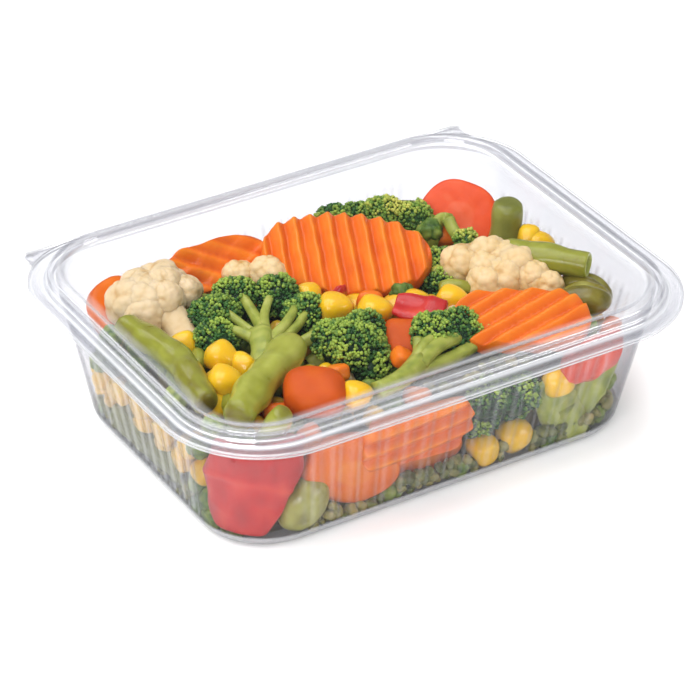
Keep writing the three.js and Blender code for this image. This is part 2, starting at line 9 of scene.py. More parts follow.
import bpy
import numpy as np
from bpy.props import FloatProperty, FloatVectorProperty, IntProperty, PointerProperty
from mathutils import Matrix, Vector
from mathutils.bvhtree import BVHTree


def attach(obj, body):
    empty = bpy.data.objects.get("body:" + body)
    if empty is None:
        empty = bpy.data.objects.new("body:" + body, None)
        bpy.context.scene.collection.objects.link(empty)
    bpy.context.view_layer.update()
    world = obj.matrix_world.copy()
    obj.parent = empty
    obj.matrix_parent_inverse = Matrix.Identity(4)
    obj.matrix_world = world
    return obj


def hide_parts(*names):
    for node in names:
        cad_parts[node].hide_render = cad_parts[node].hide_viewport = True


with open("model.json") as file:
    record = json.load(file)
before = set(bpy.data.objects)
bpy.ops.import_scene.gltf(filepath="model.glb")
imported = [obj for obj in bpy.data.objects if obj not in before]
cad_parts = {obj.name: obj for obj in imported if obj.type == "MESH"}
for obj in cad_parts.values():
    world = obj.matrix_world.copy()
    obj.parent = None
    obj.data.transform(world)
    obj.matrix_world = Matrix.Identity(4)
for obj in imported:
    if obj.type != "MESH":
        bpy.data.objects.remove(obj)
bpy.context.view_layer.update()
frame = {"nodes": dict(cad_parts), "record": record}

bl_info = {
    "name": "Clear takeaway box of vegetables",
    "version": (1, 0, 0),
    "blender": (4, 5, 0),
    "location": "View3D > Sidebar > Takeaway box",
    "description": "Builds a clear hinged deli box filled with cooked mixed vegetables",
    "category": "Object",
}

SLOTS = {row["node"]: row["material_slot"] for row in frame["record"]["subparts"]}
MM = 0.001
CENTRE_Y = 2.0
TURN = 2 * np.pi

# Outlines of the box, shared by its tray and its lid.
BOTTOM = dict(half_x=76.8, half_y=55.9, radius=23.0)
TOP = dict(half_x=84.4, half_y=65.1, radius=25.0, z=46.0)
BOTTOM_EDGE = 4.0
RIBS = dict(low=4.0, full_low=7.5, full_high=37.5, high=41.5)
# For the walls at the fold, left, front and right: how many flutes, and how much whitish painted light,
# standing in for the light that the flutes' flanks catch, they get and how narrow its lines are drawn.
RIB_SIDES = dict(count=(17, 11, 17, 11), painted_light=(0.17, 0.55, 0.17, 0.34), narrow=(5, 2.4, 5, 3.4))
# The sheet's tone where it is plain and, as whitish painted light standing in for the light that the edge
# catches, all over its bottom edge, the haze on its walls, and the turn in radians that is a full bend.
PLAIN_TONE = 0.25
WALL_HAZE = 0.05
BOTTOM_PAINTED_LIGHT = dict(below=4.5, tone=0.8)
FULL_BEND = 0.35
FOOT = dict(half_x=89.0, half_y=69.6, radius=29.0)
FLANGE = dict(half_x=93.5, front=-76.0, back=71.2, front_radius=35.0, back_radius=28.0)
FLANGE_TOP = 49.0
LID_FLANGE_TOP = 50.0
PANEL_TOP = 52.0
RIDGE_TOP = 54.6
FOLD = dict(left=-84.5, right=85.5, back=72.0)
CORNER_SHARE = 0.4
# The room for food, and the height of the heap's core in it.
ROOM = dict(inset=1.9, low=1.2, high=PANEL_TOP - 1.0)
HEAP = dict(middle=31.0, back=23.0, right=26.0, inset=13.0, low=1.1)


def linear(code):
    """An sRGB hex colour such as "E8701C" as linear RGBA."""
    channels = [int(code[i : i + 2], 16) / 255 for i in (0, 2, 4)]
    return tuple(c / 12.92 if c <= 0.04045 else ((c + 0.055) / 1.055) ** 2.4 for c in channels) + (1.0,)


def length_property(name, description, default):
    """A length in metres that the sidebar shows."""
    return FloatProperty(name=name, description=description, default=default, unit="LENGTH")


def colour_property(name, description, code):
    """A colour that the sidebar shows."""
    return FloatVectorProperty(name=name, description=description, subtype="COLOR", size=4, default=linear(code))


class TAKEAWAY_PG_box(bpy.types.PropertyGroup):
    """Sizes of the clear sheet."""

    tray_sheet: length_property("Tray sheet", "Thickness of the tray's sheet", 0.0005)
    lid_sheet: length_property("Lid sheet", "Thickness of the lid's sheet", 0.00045)
    rib_depth: length_property("Rib depth", "How deep the wall's upright flutes are", 0.0008)
    tint: colour_property("Sheet tint", "Colour that one face of the sheet lets through", "F9F9FA")


class TAKEAWAY_PG_food(bpy.types.PropertyGroup):
    """Sizes and colours of the vegetables."""

    bud: length_property("Bud", "Width of one broccoli bud", 0.0011)
    filling: length_property("Filling spacing", "Distance between neighbouring small vegetables", 0.0072)
    seed: IntProperty(name="Seed", description="Which arrangement of the small vegetables", default=7)
    carrot: colour_property("Carrot", "Cooked carrot", "E8700E")
    carrot_red: colour_property("Red carrot", "Deeper coloured carrot", "EE5522")
    cauliflower: colour_property("Cauliflower", "Cooked cauliflower", "DFC598")
    broccoli: colour_property("Broccoli", "Broccoli buds", "3A6A2C")
    stem: colour_property("Stem", "Broccoli stalks", "9CA444")
    bean: colour_property("Bean", "Green beans", "90932C")
    corn: colour_property("Maize", "Maize kernels", "F2BE10")
    pepper: colour_property("Pepper", "Red pepper skin", "C42622")
    olive: colour_property("Olive", "Green olives", "7D7221")


# Surfaces. A skin is its places, its triangles and a tone for each place, and every form is a closed skin.


def circle(count):
    """Even angles once round, as a row."""
    return np.linspace(0, TURN, count, endpoint=False)[None]


def globe(rings, around, pole):
    """Angles from one pole to the other, as a column that stops short of both, and angles round the axis."""
    return np.linspace(pole, np.pi - pole, rings)[:, None], circle(around)


def stacked(*parts):
    """Coordinates as one array of places, each part spread to the shape that all share."""
    return np.stack(np.broadcast_arrays(*parts), -1)


def closed(rows, tone=0.5):
    """A skin over rows of closed loops: row i and row i + 1 are joined by two triangles for each step,
    and the first and last loop are closed by a fan to their mean. Tone is one value or one per place."""
    n, m, _ = rows.shape
    index = np.arange(n * m).reshape(n, m)
    a, b = index[:-1], index[1:]
    a_next, b_next = np.roll(a, -1, 1), np.roll(b, -1, 1)
    sides = np.stack([np.stack([a, a_next, b_next], -1), np.stack([a, b_next, b], -1)])
    first, last = n * m, n * m + 1
    start = np.stack([np.full(m, first), np.roll(index[0], -1), index[0]], -1)
    end = np.stack([np.full(m, last), index[-1], np.roll(index[-1], -1)], -1)
    places = np.concatenate([rows.reshape(-1, 3), [rows[0].mean(0), rows[-1].mean(0)]])
    tones = np.broadcast_to(tone, (n, m)).astype(float)
    tones = np.concatenate([tones.ravel(), [tones[0].mean(), tones[-1].mean()]])
    faces = np.concatenate([sides.reshape(-1, 3), start, end])
    a, b, c = (places[faces[:, k]] for k in range(3))
    volume = np.einsum("ij,ij->", a, np.cross(b, c))
    return places, faces if volume > 0 else faces[:, ::-1], tones


def unit(ways):
    """Each direction at length one."""
    return ways / np.linalg.norm(ways, axis=-1, keepdims=True)


def smooth(value, low, high):
    """A smooth step from 0 at one value to 1 at another."""
    t = np.clip((value - low) / (high - low), 0, 1)
    return t * t * (3 - 2 * t)


def joined(skins):
    """Several skins as one, their triangles counted on."""
    starts = np.cumsum([0] + [len(places) for places, _, _ in skins[:-1]])
    return (
        np.concatenate([places for places, _, _ in skins]),
        np.concatenate([faces + start for (_, faces, _), start in zip(skins, starts)]),
        np.concatenate([tones for _, _, tones in skins]),
    )


def copies(skin, turns, places, sizes, tones):
    """The skin repeated: copy k is turned by turns[k], scaled by sizes[k], moved to places[k] and toned."""
    points, faces, own = skin
    k, n = len(places), len(points)
    spread = np.einsum("kij,nj->kni", turns, points) * np.reshape(sizes, (k, 1, -1)) + places[:, None]
    wide = (own[None] - 0.5) + np.reshape(tones, (k, 1))
    return spread.reshape(-1, 3), (faces[None] + n * np.arange(k)[:, None, None]).reshape(-1, 3), wide.ravel()


def facing(directions):
    """Rotations that carry +Z to each direction: columns are two perpendiculars and the direction."""
    z = unit(directions)
    side = np.where(np.abs(z[..., 2:]) < 0.9, [[0.0, 0.0, 1.0]], [[1.0, 0.0, 0.0]])
    x = unit(np.cross(side, z))
    return np.stack([x, np.cross(z, x), z], -1)


def turned(yaw, pitch=0.0, roll=0.0):
    """The rotation by roll about X, then pitch about Y, then yaw about Z, in degrees."""
    (cz, sz), (cy, sy), (cx, sx) = ((np.cos(a), np.sin(a)) for a in np.radians((yaw, pitch, roll)))
    about_z = np.array([[cz, -sz, 0], [sz, cz, 0], [0, 0, 1]])
    about_y = np.array([[cy, 0, sy], [0, 1, 0], [-sy, 0, cy]])
    about_x = np.array([[1, 0, 0], [0, cx, -sx], [0, sx, cx]])
    return about_z @ about_y @ about_x


def set_down(skin, at=(0, 0, 0), turn=(0, 0, 0)):
    """The skin turned by yaw, pitch and roll and moved to its place."""
    places, faces, tones = skin
    return places @ turned(*turn).T + at, faces, tones


def wobble(places, step, seed, waves=7):
    """A smooth random value from -1 to 1: the mean of sine waves in random directions, about one step
    long each."""
    rng = np.random.default_rng(seed)
    ways = rng.normal(size=(3, waves))
    ways *= TURN / step * rng.uniform(0.7, 1.4, waves) / np.linalg.norm(ways, axis=0)
    return np.sin(places @ ways + rng.uniform(0, TURN, waves)).mean(-1) * 1.6


def swept(path, radii, section):
    """Loops of a section carried along a path: each loop is the path's place plus radius times the
    section, given by its reach at even angles, in the plane across the path."""
    along = np.gradient(path, axis=0)
    frames = facing(along)
    for k in range(1, len(path)):
        before, z = frames[k - 1, :, 0], unit(along[k])
        x = unit(before - along[k] * (before @ along[k]) / (along[k] @ along[k]))
        frames[k] = np.stack([x, np.cross(z, x), z], -1)
    angle = circle(len(section))[0]
    flat = stacked(np.cos(angle) * section, np.sin(angle) * section, 0.0)
    return path[:, None] + np.einsum("kij,mj->kmi", frames, flat) * np.reshape(radii, (-1, 1, 1))


def wall_size(z):
    """The wall's half length, half width and corner radius at a height, on straight lines between those
    of the bottom and the top."""
    t = z / TOP["z"]
    return (BOTTOM[key] + (TOP[key] - BOTTOM[key]) * t for key in ("half_x", "half_y", "radius"))


def pressed(skin):
    """The skin kept inside the box: a place that is past the wall's inner face, the bottom or the lid's
    panel is moved onto it, as soft food is. The distance to a wall is that to a rounded rectangle."""
    places, faces, tones = skin
    places = places.copy()
    z = places[:, 2] = np.clip(places[:, 2], ROOM["low"], ROOM["high"])
    half_x, half_y, radius = (size - ROOM["inset"] for size in wall_size(z))
    r = radius[:, None]
    past = np.maximum(np.abs(places[:, :2]) - (np.stack([half_x, half_y], -1) - r), 0)
    reach = np.linalg.norm(past, axis=1, keepdims=True)
    cut = past * np.clip(1 - r / np.maximum(reach, 1e-6), 0, 1)
    places[:, :2] -= np.sign(places[:, :2]) * cut
    return places, faces, tones


def to_mesh(name, skin, material, slot, body, nodes=()):
    """Puts a skin into the scene in metres, rides it on its body and lets it stand for CAD nodes."""
    places, faces, tones = skin if slot == "clear_plastic" else pressed(skin)
    mesh = bpy.data.meshes.new(name)
    mesh.from_pydata((places + (0, CENTRE_Y, 0)) * MM, [], faces)
    mesh.attributes.new("tone", "FLOAT", "POINT").data.foreach_set("value", tones.astype(np.float32))
    mesh.polygons.foreach_set("use_smooth", np.ones(len(faces), bool))
    mesh.materials.append(material)
    mesh.update()
    piece = bpy.data.objects.new(name, mesh)
    bpy.context.scene.collection.objects.link(piece)
    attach(piece, body)
    if nodes:
        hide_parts(*nodes)
    return piece


def lay_down(name, skin, at, turn, material, ending, stands_for=None):
    """Turns one vegetable, moves it to its place and lets it stand for the CAD node of its name or the
    one that is given."""
    places, faces, tones = set_down(skin, at, turn)
    cad = stands_for or name
    to_mesh(name + ending, (places, faces, tones + PALER.get(name, 0)), material, SLOTS[cad], "box", [cad])


# The clear sheet


def rounded_loops(u, half_x, front, back, front_radius, back_radius):
    """Rounded rectangles as functions of u, 0 to 4: over each unit a quarter circle takes the corner's
    share and a straight side the rest. Gives places and the outward direction, for each row."""
    side = np.floor(u).astype(int) % 4
    t = u - np.floor(u)
    radius = np.stack([back_radius, back_radius, front_radius, front_radius], -1)
    x = np.stack([half_x - back_radius, back_radius - half_x, front_radius - half_x, half_x - front_radius], -1)
    y = np.stack([back - back_radius] * 2 + [front + front_radius] * 2, -1)
    angle = np.pi / 2 * (side + np.minimum(t / CORNER_SHARE, 1))
    outward = np.stack([np.cos(angle), np.sin(angle)], -1)

    def corner(which):
        middle = np.stack([x[:, which], y[:, which]], -1)
        return middle + radius[:, which][..., None] * outward

    along = np.clip((t - CORNER_SHARE) / (1 - CORNER_SHARE), 0, 1)[:, None]
    return corner(side) * (1 - along) + corner((side + 1) % 4) * along, outward


def wall(z, inset):
    """The tray wall's outline at a height, drawn in by an inset."""
    half_x, half_y, radius = wall_size(z)
    r = max(radius - inset, 1)
    return [half_x - inset, inset - half_y, half_y - inset, r, r, z]


def foot(z, inset):
    """An outline drawn in from the foot of the lid's ridge."""
    r = max(FOOT["radius"] - inset, 1)
    return [FOOT["half_x"] - inset, inset - FOOT["half_y"], FOOT["half_y"] - inset, r, r, z]


def flange(z, inset):
    """The outer edge of the flange, wider at the front than at the fold."""
    f = FLANGE
    radii = [f["front_radius"] - inset, f["back_radius"] - inset]
    return [f["half_x"] - inset, f["front"] + inset, f["back"] - inset, *radii, z]


def softened(stations, bend=0.9):
    """The run of outlines with every bend rounded: each inner station gives way to five on a parabola
    between places at most one bend away on either side."""
    rows = [np.asarray(stations[0], float)]
    for before, here, after in zip(stations, stations[1:], stations[2:]):
        before, here, after = (np.asarray(s, float) for s in (before, here, after))
        lengths = [np.hypot(s[0] - here[0], s[5] - here[5]) for s in (before, after)]
        a, b = (here + (s - here) * min(bend / n, 0.45) for s, n in zip((before, after), lengths))
        t = np.linspace(0, 1, 5)[:, None]
        rows.extend(a * (1 - t) ** 2 + 2 * here * t * (1 - t) + b * t**2)
    rows.append(np.asarray(stations[-1], float))
    return np.array(rows)


def offset(rows, distance):
    """The run of outlines moved across itself, in the plane of outward distance and height."""
    step = np.gradient(np.stack([rows[:, 0], rows[:, 5]], -1), axis=0)
    across = np.stack([step[:, 1], -step[:, 0]], -1) / np.linalg.norm(step, axis=-1, keepdims=True)
    out, up = (across * distance).T
    return rows + np.stack([out, -out, out, out, out, up], -1)


def sheet_skin(rows, thick, rib_depth=0.0, columns=544):
    """A closed skin of two faces: the outlines from the middle out to the edge, then the same run moved
    down by the thickness and back to the middle. The flutes are a cosine along each straight side. Tone
    is the share of whitish painted light that stands in for the light the real sheet catches: it rises
    on the flutes' flanks, most on the short sides, where the run of outlines bends and all over the
    bottom edge."""
    both = np.concatenate([rows, offset(rows, thick)[::-1]])
    u = np.linspace(0, 4, columns, endpoint=False)
    flat, outward = rounded_loops(u, *both[:, :5].T)
    side = np.floor(u).astype(int)
    count, painted_light, narrow = (np.array(RIB_SIDES[key])[side] for key in ("count", "painted_light", "narrow"))
    phase = TURN * count * np.clip((u % 1 - CORNER_SHARE) / (1 - CORNER_SHARE), 0, 1)
    z = both[:, 5]
    rise, fall = smooth(z, RIBS["low"], RIBS["full_low"]), smooth(z, RIBS["high"], RIBS["full_high"])
    fade = np.minimum(rise, fall)[:, None]
    flat = flat - outward * (rib_depth * fade * (0.5 - 0.5 * np.cos(phase)))[..., None]
    # Whitish painted light on the flutes' flanks, over an even haze.
    flank = WALL_HAZE + (1 - WALL_HAZE) * painted_light * np.abs(np.sin(phase)) ** narrow
    # Painted light also goes where the run of outlines bends, and all over the bottom edge.
    step = np.diff(np.stack([both[:, 0], both[:, 5]], -1), axis=0)
    heading = np.unwrap(np.arctan2(step[:, 1], step[:, 0]))
    turn = np.abs(np.diff(heading, prepend=heading[:1], append=heading[-1:]))
    bend = np.clip(turn / FULL_BEND, 0, 1)
    bend = np.where(z < BOTTOM_PAINTED_LIGHT["below"], np.maximum(bend, BOTTOM_PAINTED_LIGHT["tone"]), bend)[:, None]
    rows = stacked(flat[..., 0], flat[..., 1], z[:, None])
    return closed(rows, PLAIN_TONE + (1 - PLAIN_TONE) * np.maximum(fade * flank, bend))


def fold_strip(z, thick):
    """The flat strip between the flange's back edge and the fold: loops across it, one for each place
    along it, that follow the flange's round corners at their inner side."""
    x = np.linspace(FOLD["left"], FOLD["right"], 90)
    r = FLANGE["back_radius"]
    past = np.clip(np.abs(x) - (FLANGE["half_x"] - r), 0, r)
    inner = FLANGE["back"] - r + np.sqrt(r * r - past * past) - 0.15
    outer = np.full_like(x, FOLD["back"])
    outer -= 2 * np.clip(1 - (x - FOLD["left"]) / 2, 0, 1) ** 2
    y = np.stack([inner, outer, outer, inner], -1)
    return closed(stacked(x[:, None], y, [z, z, z - thick, z - thick]), PLAIN_TONE)


def outlines(kind, *stations):
    """Outlines of one kind at pairs of height and inset."""
    return [kind(z, inset) for z, inset in stations]


TRAY_STATIONS = [
    *outlines(wall, (0.5, 60), (0.5, 20), (0.5, BOTTOM_EDGE + 0.4), (1.0, 2.6), (2.2, 1.3)),
    *(wall(z, 0.7) for z in (4.2, 5.5, 7.5, 14, 22, 30, 37.5, 39.5, 41.5)),
    *outlines(foot, (46.0, 5.3), (51.2, 4.9), (51.6, 4.5), (51.6, 3.3), (51.2, 2.9), (47.7, 1.9), (47.9, 0.4)),
    *outlines(flange, (FLANGE_TOP, 2), (FLANGE_TOP, 0)),
]
LID_STATIONS = [
    *outlines(foot, (PANEL_TOP, 60), (PANEL_TOP, 30), (PANEL_TOP, 12), (PANEL_TOP, 7.2)),
    *outlines(foot, (RIDGE_TOP - 0.4, 6), (RIDGE_TOP, 5.2), (RIDGE_TOP - 0.7, 2.6), (RIDGE_TOP - 1.4, 1.8)),
    *outlines(foot, (LID_FLANGE_TOP + 1, 1.3), (LID_FLANGE_TOP + 0.8, 0.7), (LID_FLANGE_TOP - 1.1, 0)),
    *outlines(flange, (LID_FLANGE_TOP, 1.5), (LID_FLANGE_TOP, 0)),
]


# Forms of the vegetables


def crinkle_slice(length, width, thick, pitch=5.7, depth=1.8, ends=(0.3, 0.3), slant=0.0, rough=0.3, seed=1):
    """An oval plate cut with a wavy blade: loops across it, one for each place along it. A loop is a
    flattened superellipse as wide as the oval there. Both faces carry one leaning wave, whose ridges are
    turned from straight across by the slant in degrees, so the rim is scalloped. Rough is the height in
    millimetres of slow uneven waves over it all. Tone follows the wave, as painted light on the top
    face's crests and painted shade in its troughs."""
    t = np.sin(np.linspace(-1, 1, 190) * np.pi / 2)[:, None]
    angle = circle(64)
    blunt = ends[0] + (ends[1] - ends[0]) * (t + 1) / 2
    half = width / 2 * (blunt + (1 - blunt) * np.sqrt(np.clip(1 - t * t, 0, 1)))
    close = np.clip((1 - np.abs(t)) / 0.03, 0, 1) ** 0.5
    c, s = np.cos(angle), np.sin(angle)
    x, y = length / 2 * t, half * c * (0.95 + 0.05 * close)
    turn = np.radians(slant)
    phase = TURN / pitch * (x * np.cos(turn) + y * np.sin(turn))
    wave = (np.sin(phase) - 0.25 * np.sin(2 * phase)) / 1.1
    z = thick / 2 * np.sign(s) * np.abs(s) ** 0.22 * (0.5 + 0.5 * close) + depth / 2 * wave
    rows = stacked(x, y, z)
    rows = rows + rough * wobble(rows, 9, seed)[..., None] * [0.4, 1, 0.5]
    # Painted light on the crests and painted shade in the troughs, over a slow random mottle.
    return closed(rows, 0.5 + 0.2 * wave + 0.12 * wobble(rows, 14, seed + 1))


def chunk(length, width, height, square=2.7, seed=2, rings=30, around=44):
    """A lump with soft corners: circles over a superellipsoid, made uneven by slow waves."""
    polar, angle = globe(rings, around, 0.06)
    way = stacked(np.cos(polar), np.sin(polar) * np.cos(angle), np.sin(polar) * np.sin(angle))
    rows = way * ((np.abs(way) ** square).sum(-1) ** (-1 / square))[..., None]
    rows = rows * (1 + 0.07 * wobble(rows, 1.6, seed) + 0.015 * wobble(rows, 0.6, seed + 1))[..., None]
    rows = rows * [length / 2, width / 2, height / 2]
    return closed(rows, 0.5 + 0.12 * wobble(rows, 9, seed + 2))


def round_slice(radius, thick, squash=1.0, seed=2, core=0.35):
    """A disc with a soft edge, slightly uneven: circles whose radius follows a flattened superellipse
    from one face to the other. Its tone rises in the pith at the middle."""
    angle = circle(56)
    share = np.array([0.08, 0.2, 0.34, 0.42, 0.6, 0.8, 0.92, 0.98, 1.0])
    reach = np.concatenate([share, share[::-1]])[:, None]
    bend = np.array([1, 1, 1, 1, 0.98, 0.95, 0.86, 0.66, 0.3]) * thick / 2
    z = np.concatenate([bend, -bend[::-1]])[:, None]
    uneven = 1 + 0.03 * np.sin(2 * angle + seed) + 0.02 * np.sin(5 * angle + 2 * seed)
    x, y = (radius * reach * uneven * f for f in (np.cos(angle), np.sin(angle) * squash))
    rows = stacked(x, y, z)
    rows[..., 2] += 0.15 * wobble(rows * [1, 1, 0], 9, seed)
    tone = np.where(reach < core, 0.72, np.where(reach > 0.93, 0.35, 0.5))
    return closed(rows, tone + 0.08 * wobble(rows, 5, seed + 3))


def bean_pod(length, radius, bow=0.0, seed=3, hollow=(False, True), shift=0.0):
    """A cut length of bean: flattened circles along a kinked line, with a raised seam, fine ridges and
    swellings over the seeds. A hollow end turns in over its rim, and a shut one is blunt and darker."""
    t = np.linspace(-1, 1, 60)
    radii = radius * (1 - 0.13 * np.abs(t) ** 3 + 0.045 * np.sin(t * length / 4.2 + seed))
    x = t * length / 2
    tone = 0.5 + shift + 0.06 * np.sin(2.6 * t + seed)
    for end, way in ((0, -1), (-1, 1)):
        if hollow[end]:
            lip = radii[end] * np.array([0.93, 0.8, 0.74, 0.5, 0.1])
            deep = x[end] + way * np.array([0.25, 0.2, -1.2, -2.4, -2.6])
            shade = np.array([0.8, 0.95, 0.8, 0.5, 0.4])
        else:
            lip = radii[end] * np.array([0.985, 0.93, 0.8, 0.55, 0.2])
            deep = x[end] + way * radii[end] * np.array([0.1, 0.24, 0.38, 0.47, 0.5])
            shade = np.array([0.4, 0.36, 0.28, 0.2, 0.16]) + shift
        pairs = ((radii, lip), (x, deep), (tone, shade))
        radii, x, tone = (np.concatenate([b[::-1], a] if end == 0 else [a, b]) for a, b in pairs)
    angle = circle(40)
    seam = 1 + 0.05 * np.exp(-((np.sin(angle - 1.1) / 0.14) ** 2)) + 0.006 * np.sin(9 * angle + seed)
    bent = bow * (1 - np.abs(2 * x / length) ** 1.4)
    y = bent[:, None] + radii[:, None] * np.cos(angle) * seam
    z = radii[:, None] * np.sin(angle) * seam * 0.92
    rows = stacked(x[:, None], y, z)
    rows = rows + 0.3 * wobble(rows, 15, seed)[..., None]
    streaks = 0.08 * wobble(rows * [0.08, 1, 1], 3.4, seed + 1) + 0.07 * wobble(rows, 16, seed + 2)
    return closed(rows, tone[:, None] + streaks)


def maize_kernel(size, stretch=1.15, seed=4, rings=15, around=20):
    """A plump kernel: circles along an egg that narrows to the tip where it was cut from the cob, with
    squared flanks and a shallow dent in its crown. Its tone falls at the tip."""
    polar, angle = globe(rings, around, 0.08)
    x = np.cos(polar)
    narrow = 1 - 0.24 * x
    c, s = np.cos(angle), np.sin(angle)
    square = (np.abs(c) ** 2.7 + np.abs(s) ** 2.7) ** (-1 / 2.7)
    y = np.sin(polar) * c * square * narrow
    z = np.sin(polar) * s * square * narrow * 0.86
    dent = 0.1 * np.exp(-(((x + 0.85) / 0.25) ** 2))
    rows = stacked((x + dent) * stretch, y, z)
    rows = rows * (1 + 0.03 * wobble(rows, 1.2, seed))[..., None] * size / 2
    return closed(rows, 0.52 - 0.38 * np.clip((x - 0.55) / 0.45, 0, 1) + 0.1 * wobble(rows, 5, seed))


def olive(length, width, height, seed=5):
    """An egg with a long slit pressed into one side: circles along an ellipse, drawn in by a narrow
    bell across the slit. The slit's edges are paler."""
    polar, angle = globe(26, 36, 0.06)
    slit = np.exp(-(((angle - 1.3) / 0.22) ** 2)) * np.clip(np.sin(polar) - 0.25, 0, 1)
    reach = 1 - 0.42 * slit
    y = np.sin(polar) * np.cos(angle) * reach * width / 2
    z = np.sin(polar) * np.sin(angle) * reach * height / 2
    rows = stacked(np.cos(polar) * length / 2, y, z)
    rows = rows * (1 + 0.03 * wobble(rows, 8, seed))[..., None]
    return closed(rows, 0.42 + 0.5 * slit + 0.14 * wobble(rows, 6, seed))


def pepper_strip(length, width, thick, curl, lean=0.0, seed=6):
    """A curled strip of pepper: loops across it, one for each place along it. Each loop is a flat
    superellipse wrapped round the curl's radius, its edges wavy and its skin puckered along it and folded
    up along a slanting line. A lean widens one side towards the end and narrows it towards the start.
    Its flesh side is paler. Along the fold a pale line is a painted highlight, and one side of the fold is
    a little darker than the other as painted shade."""
    t = np.linspace(-1, 1, 60)[:, None]
    angle = circle(72)
    c, s = np.cos(angle), np.sin(angle)
    ends = np.clip((1 - np.abs(t)) / 0.06, 0, 1) ** 0.5
    edge = (1 - 0.22 * t**2) * (1 + 0.05 * np.sin(7 * t + seed)) * (0.93 + 0.07 * ends)
    across = width / 2 * edge * np.sign(c) * np.abs(c) ** 0.6
    across = across * np.where(across < 0, 1 - lean * (0.35 - t), 1)
    deep = thick / 2 * np.sign(s) * np.abs(s) ** 0.5 * (0.4 + 0.6 * ends)
    x = length / 2 * t
    flat = stacked(x, across, 0.0)
    pucker = 0.9 * (wobble(flat * [0.35, 1, 1], 8, seed) + 0.4 * np.abs(wobble(flat, 14, seed + 1)))
    fold = (x - 0.12 * length - 0.3 * across + 0.02 * across**2) / 1.3
    turn, r = across / curl, curl + deep + pucker + 0.1 * thick * np.exp(-(fold**2))
    rows = stacked(x, r * np.sin(turn), r * np.cos(turn) - curl)
    skin = np.where(s > 0, 0.45, 0.85)
    streaks = 0.1 * wobble(flat * [0.08, 1, 1], 2.5, seed + 3) + 0.1 * wobble(rows, 9, seed + 2)
    # Painted highlight along the fold and painted shade on one side of it.
    return closed(rows, skin - 0.04 * np.tanh(fold) + 0.12 * np.exp(-(fold**2)) + streaks)


def ball_directions(count):
    """Evenly spread directions: equal steps in height, turned by the golden angle."""
    k = np.arange(count) + 0.5
    z = 1 - 2 * k / count
    angle = np.pi * (1 + 5**0.5) * k
    return np.stack([np.cos(angle) * np.sqrt(1 - z * z), np.sin(angle) * np.sqrt(1 - z * z), z], -1)


def raised(way, count, jitter, seed):
    """Round knobs about some evenly spread, jittered directions: for each direction asked for, the
    knob's height, one minus the square of the angle to the nearest, and how far it is from a crease."""
    middles = unit(ball_directions(count) + np.random.default_rng(seed).normal(scale=jitter, size=(count, 3)))
    away = np.sort(np.arccos(np.clip(way @ middles.T, -1, 1)), -1)
    spread = np.sqrt(4 * np.pi / count) * 0.62
    height = 1 - np.clip(away[..., 0] / spread, 0, 1.2) ** 2
    return height, np.clip((away[..., 1] - away[..., 0]) / (0.3 * spread), 0, 1)


def curd(x, y, z, r, knobs=8, relief=0.1, grains=200, grain=0.03, seed=8, rings=56, around=76):
    """A knobbly ball: a sphere raised into large round knobs, each covered with small ones. Tone falls in
    the creases between the large knobs and a little between the small ones, as painted shade, and rises
    on the knobs as painted light."""
    polar, angle = globe(rings, around, 0.05)
    way = stacked(np.sin(polar) * np.cos(angle), np.sin(polar) * np.sin(angle), np.cos(polar))
    height, crease = raised(way, knobs, 0.3, seed)
    small, _ = raised(way, grains, 0.12, seed + 1)
    waves = 0.04 * wobble(way * r, 7, seed + 2)
    rows = way * (r * (1 - relief * 0.7 + relief * height + grain * (small - 0.5) + waves))[..., None]
    # Painted shade in the creases and painted light on the knobs, over a random mottle.
    tone = 0.35 + 0.17 * crease + 0.1 * height + 0.06 * small + 0.1 * wobble(way * r, 6, seed + 3)
    return closed(rows + (x, y, z), tone)


def branch(start, end, start_radius, end_radius, seed=9, bend=1.5, steps=14, around=14):
    """A stalk: ridged circles along a line that bows a little, thickening towards both ends."""
    t = np.linspace(0, 1, steps)[:, None]
    start, end = np.asarray(start, float), np.asarray(end, float)
    rng = np.random.default_rng(seed)
    side = unit(np.cross(end - start, rng.normal(size=3)))
    path = start + (end - start) * t + side * bend * np.sin(np.pi * t)
    radii = start_radius + (end_radius - start_radius) * t[:, 0]
    radii = radii * (0.92 + 0.3 * (t[:, 0] - 0.45) ** 2)
    rows = swept(path, radii, 1 + 0.07 * np.sin(4 * circle(around)[0] + seed))
    return closed(rows, 0.5 + 0.2 * wobble(rows, 4, seed))


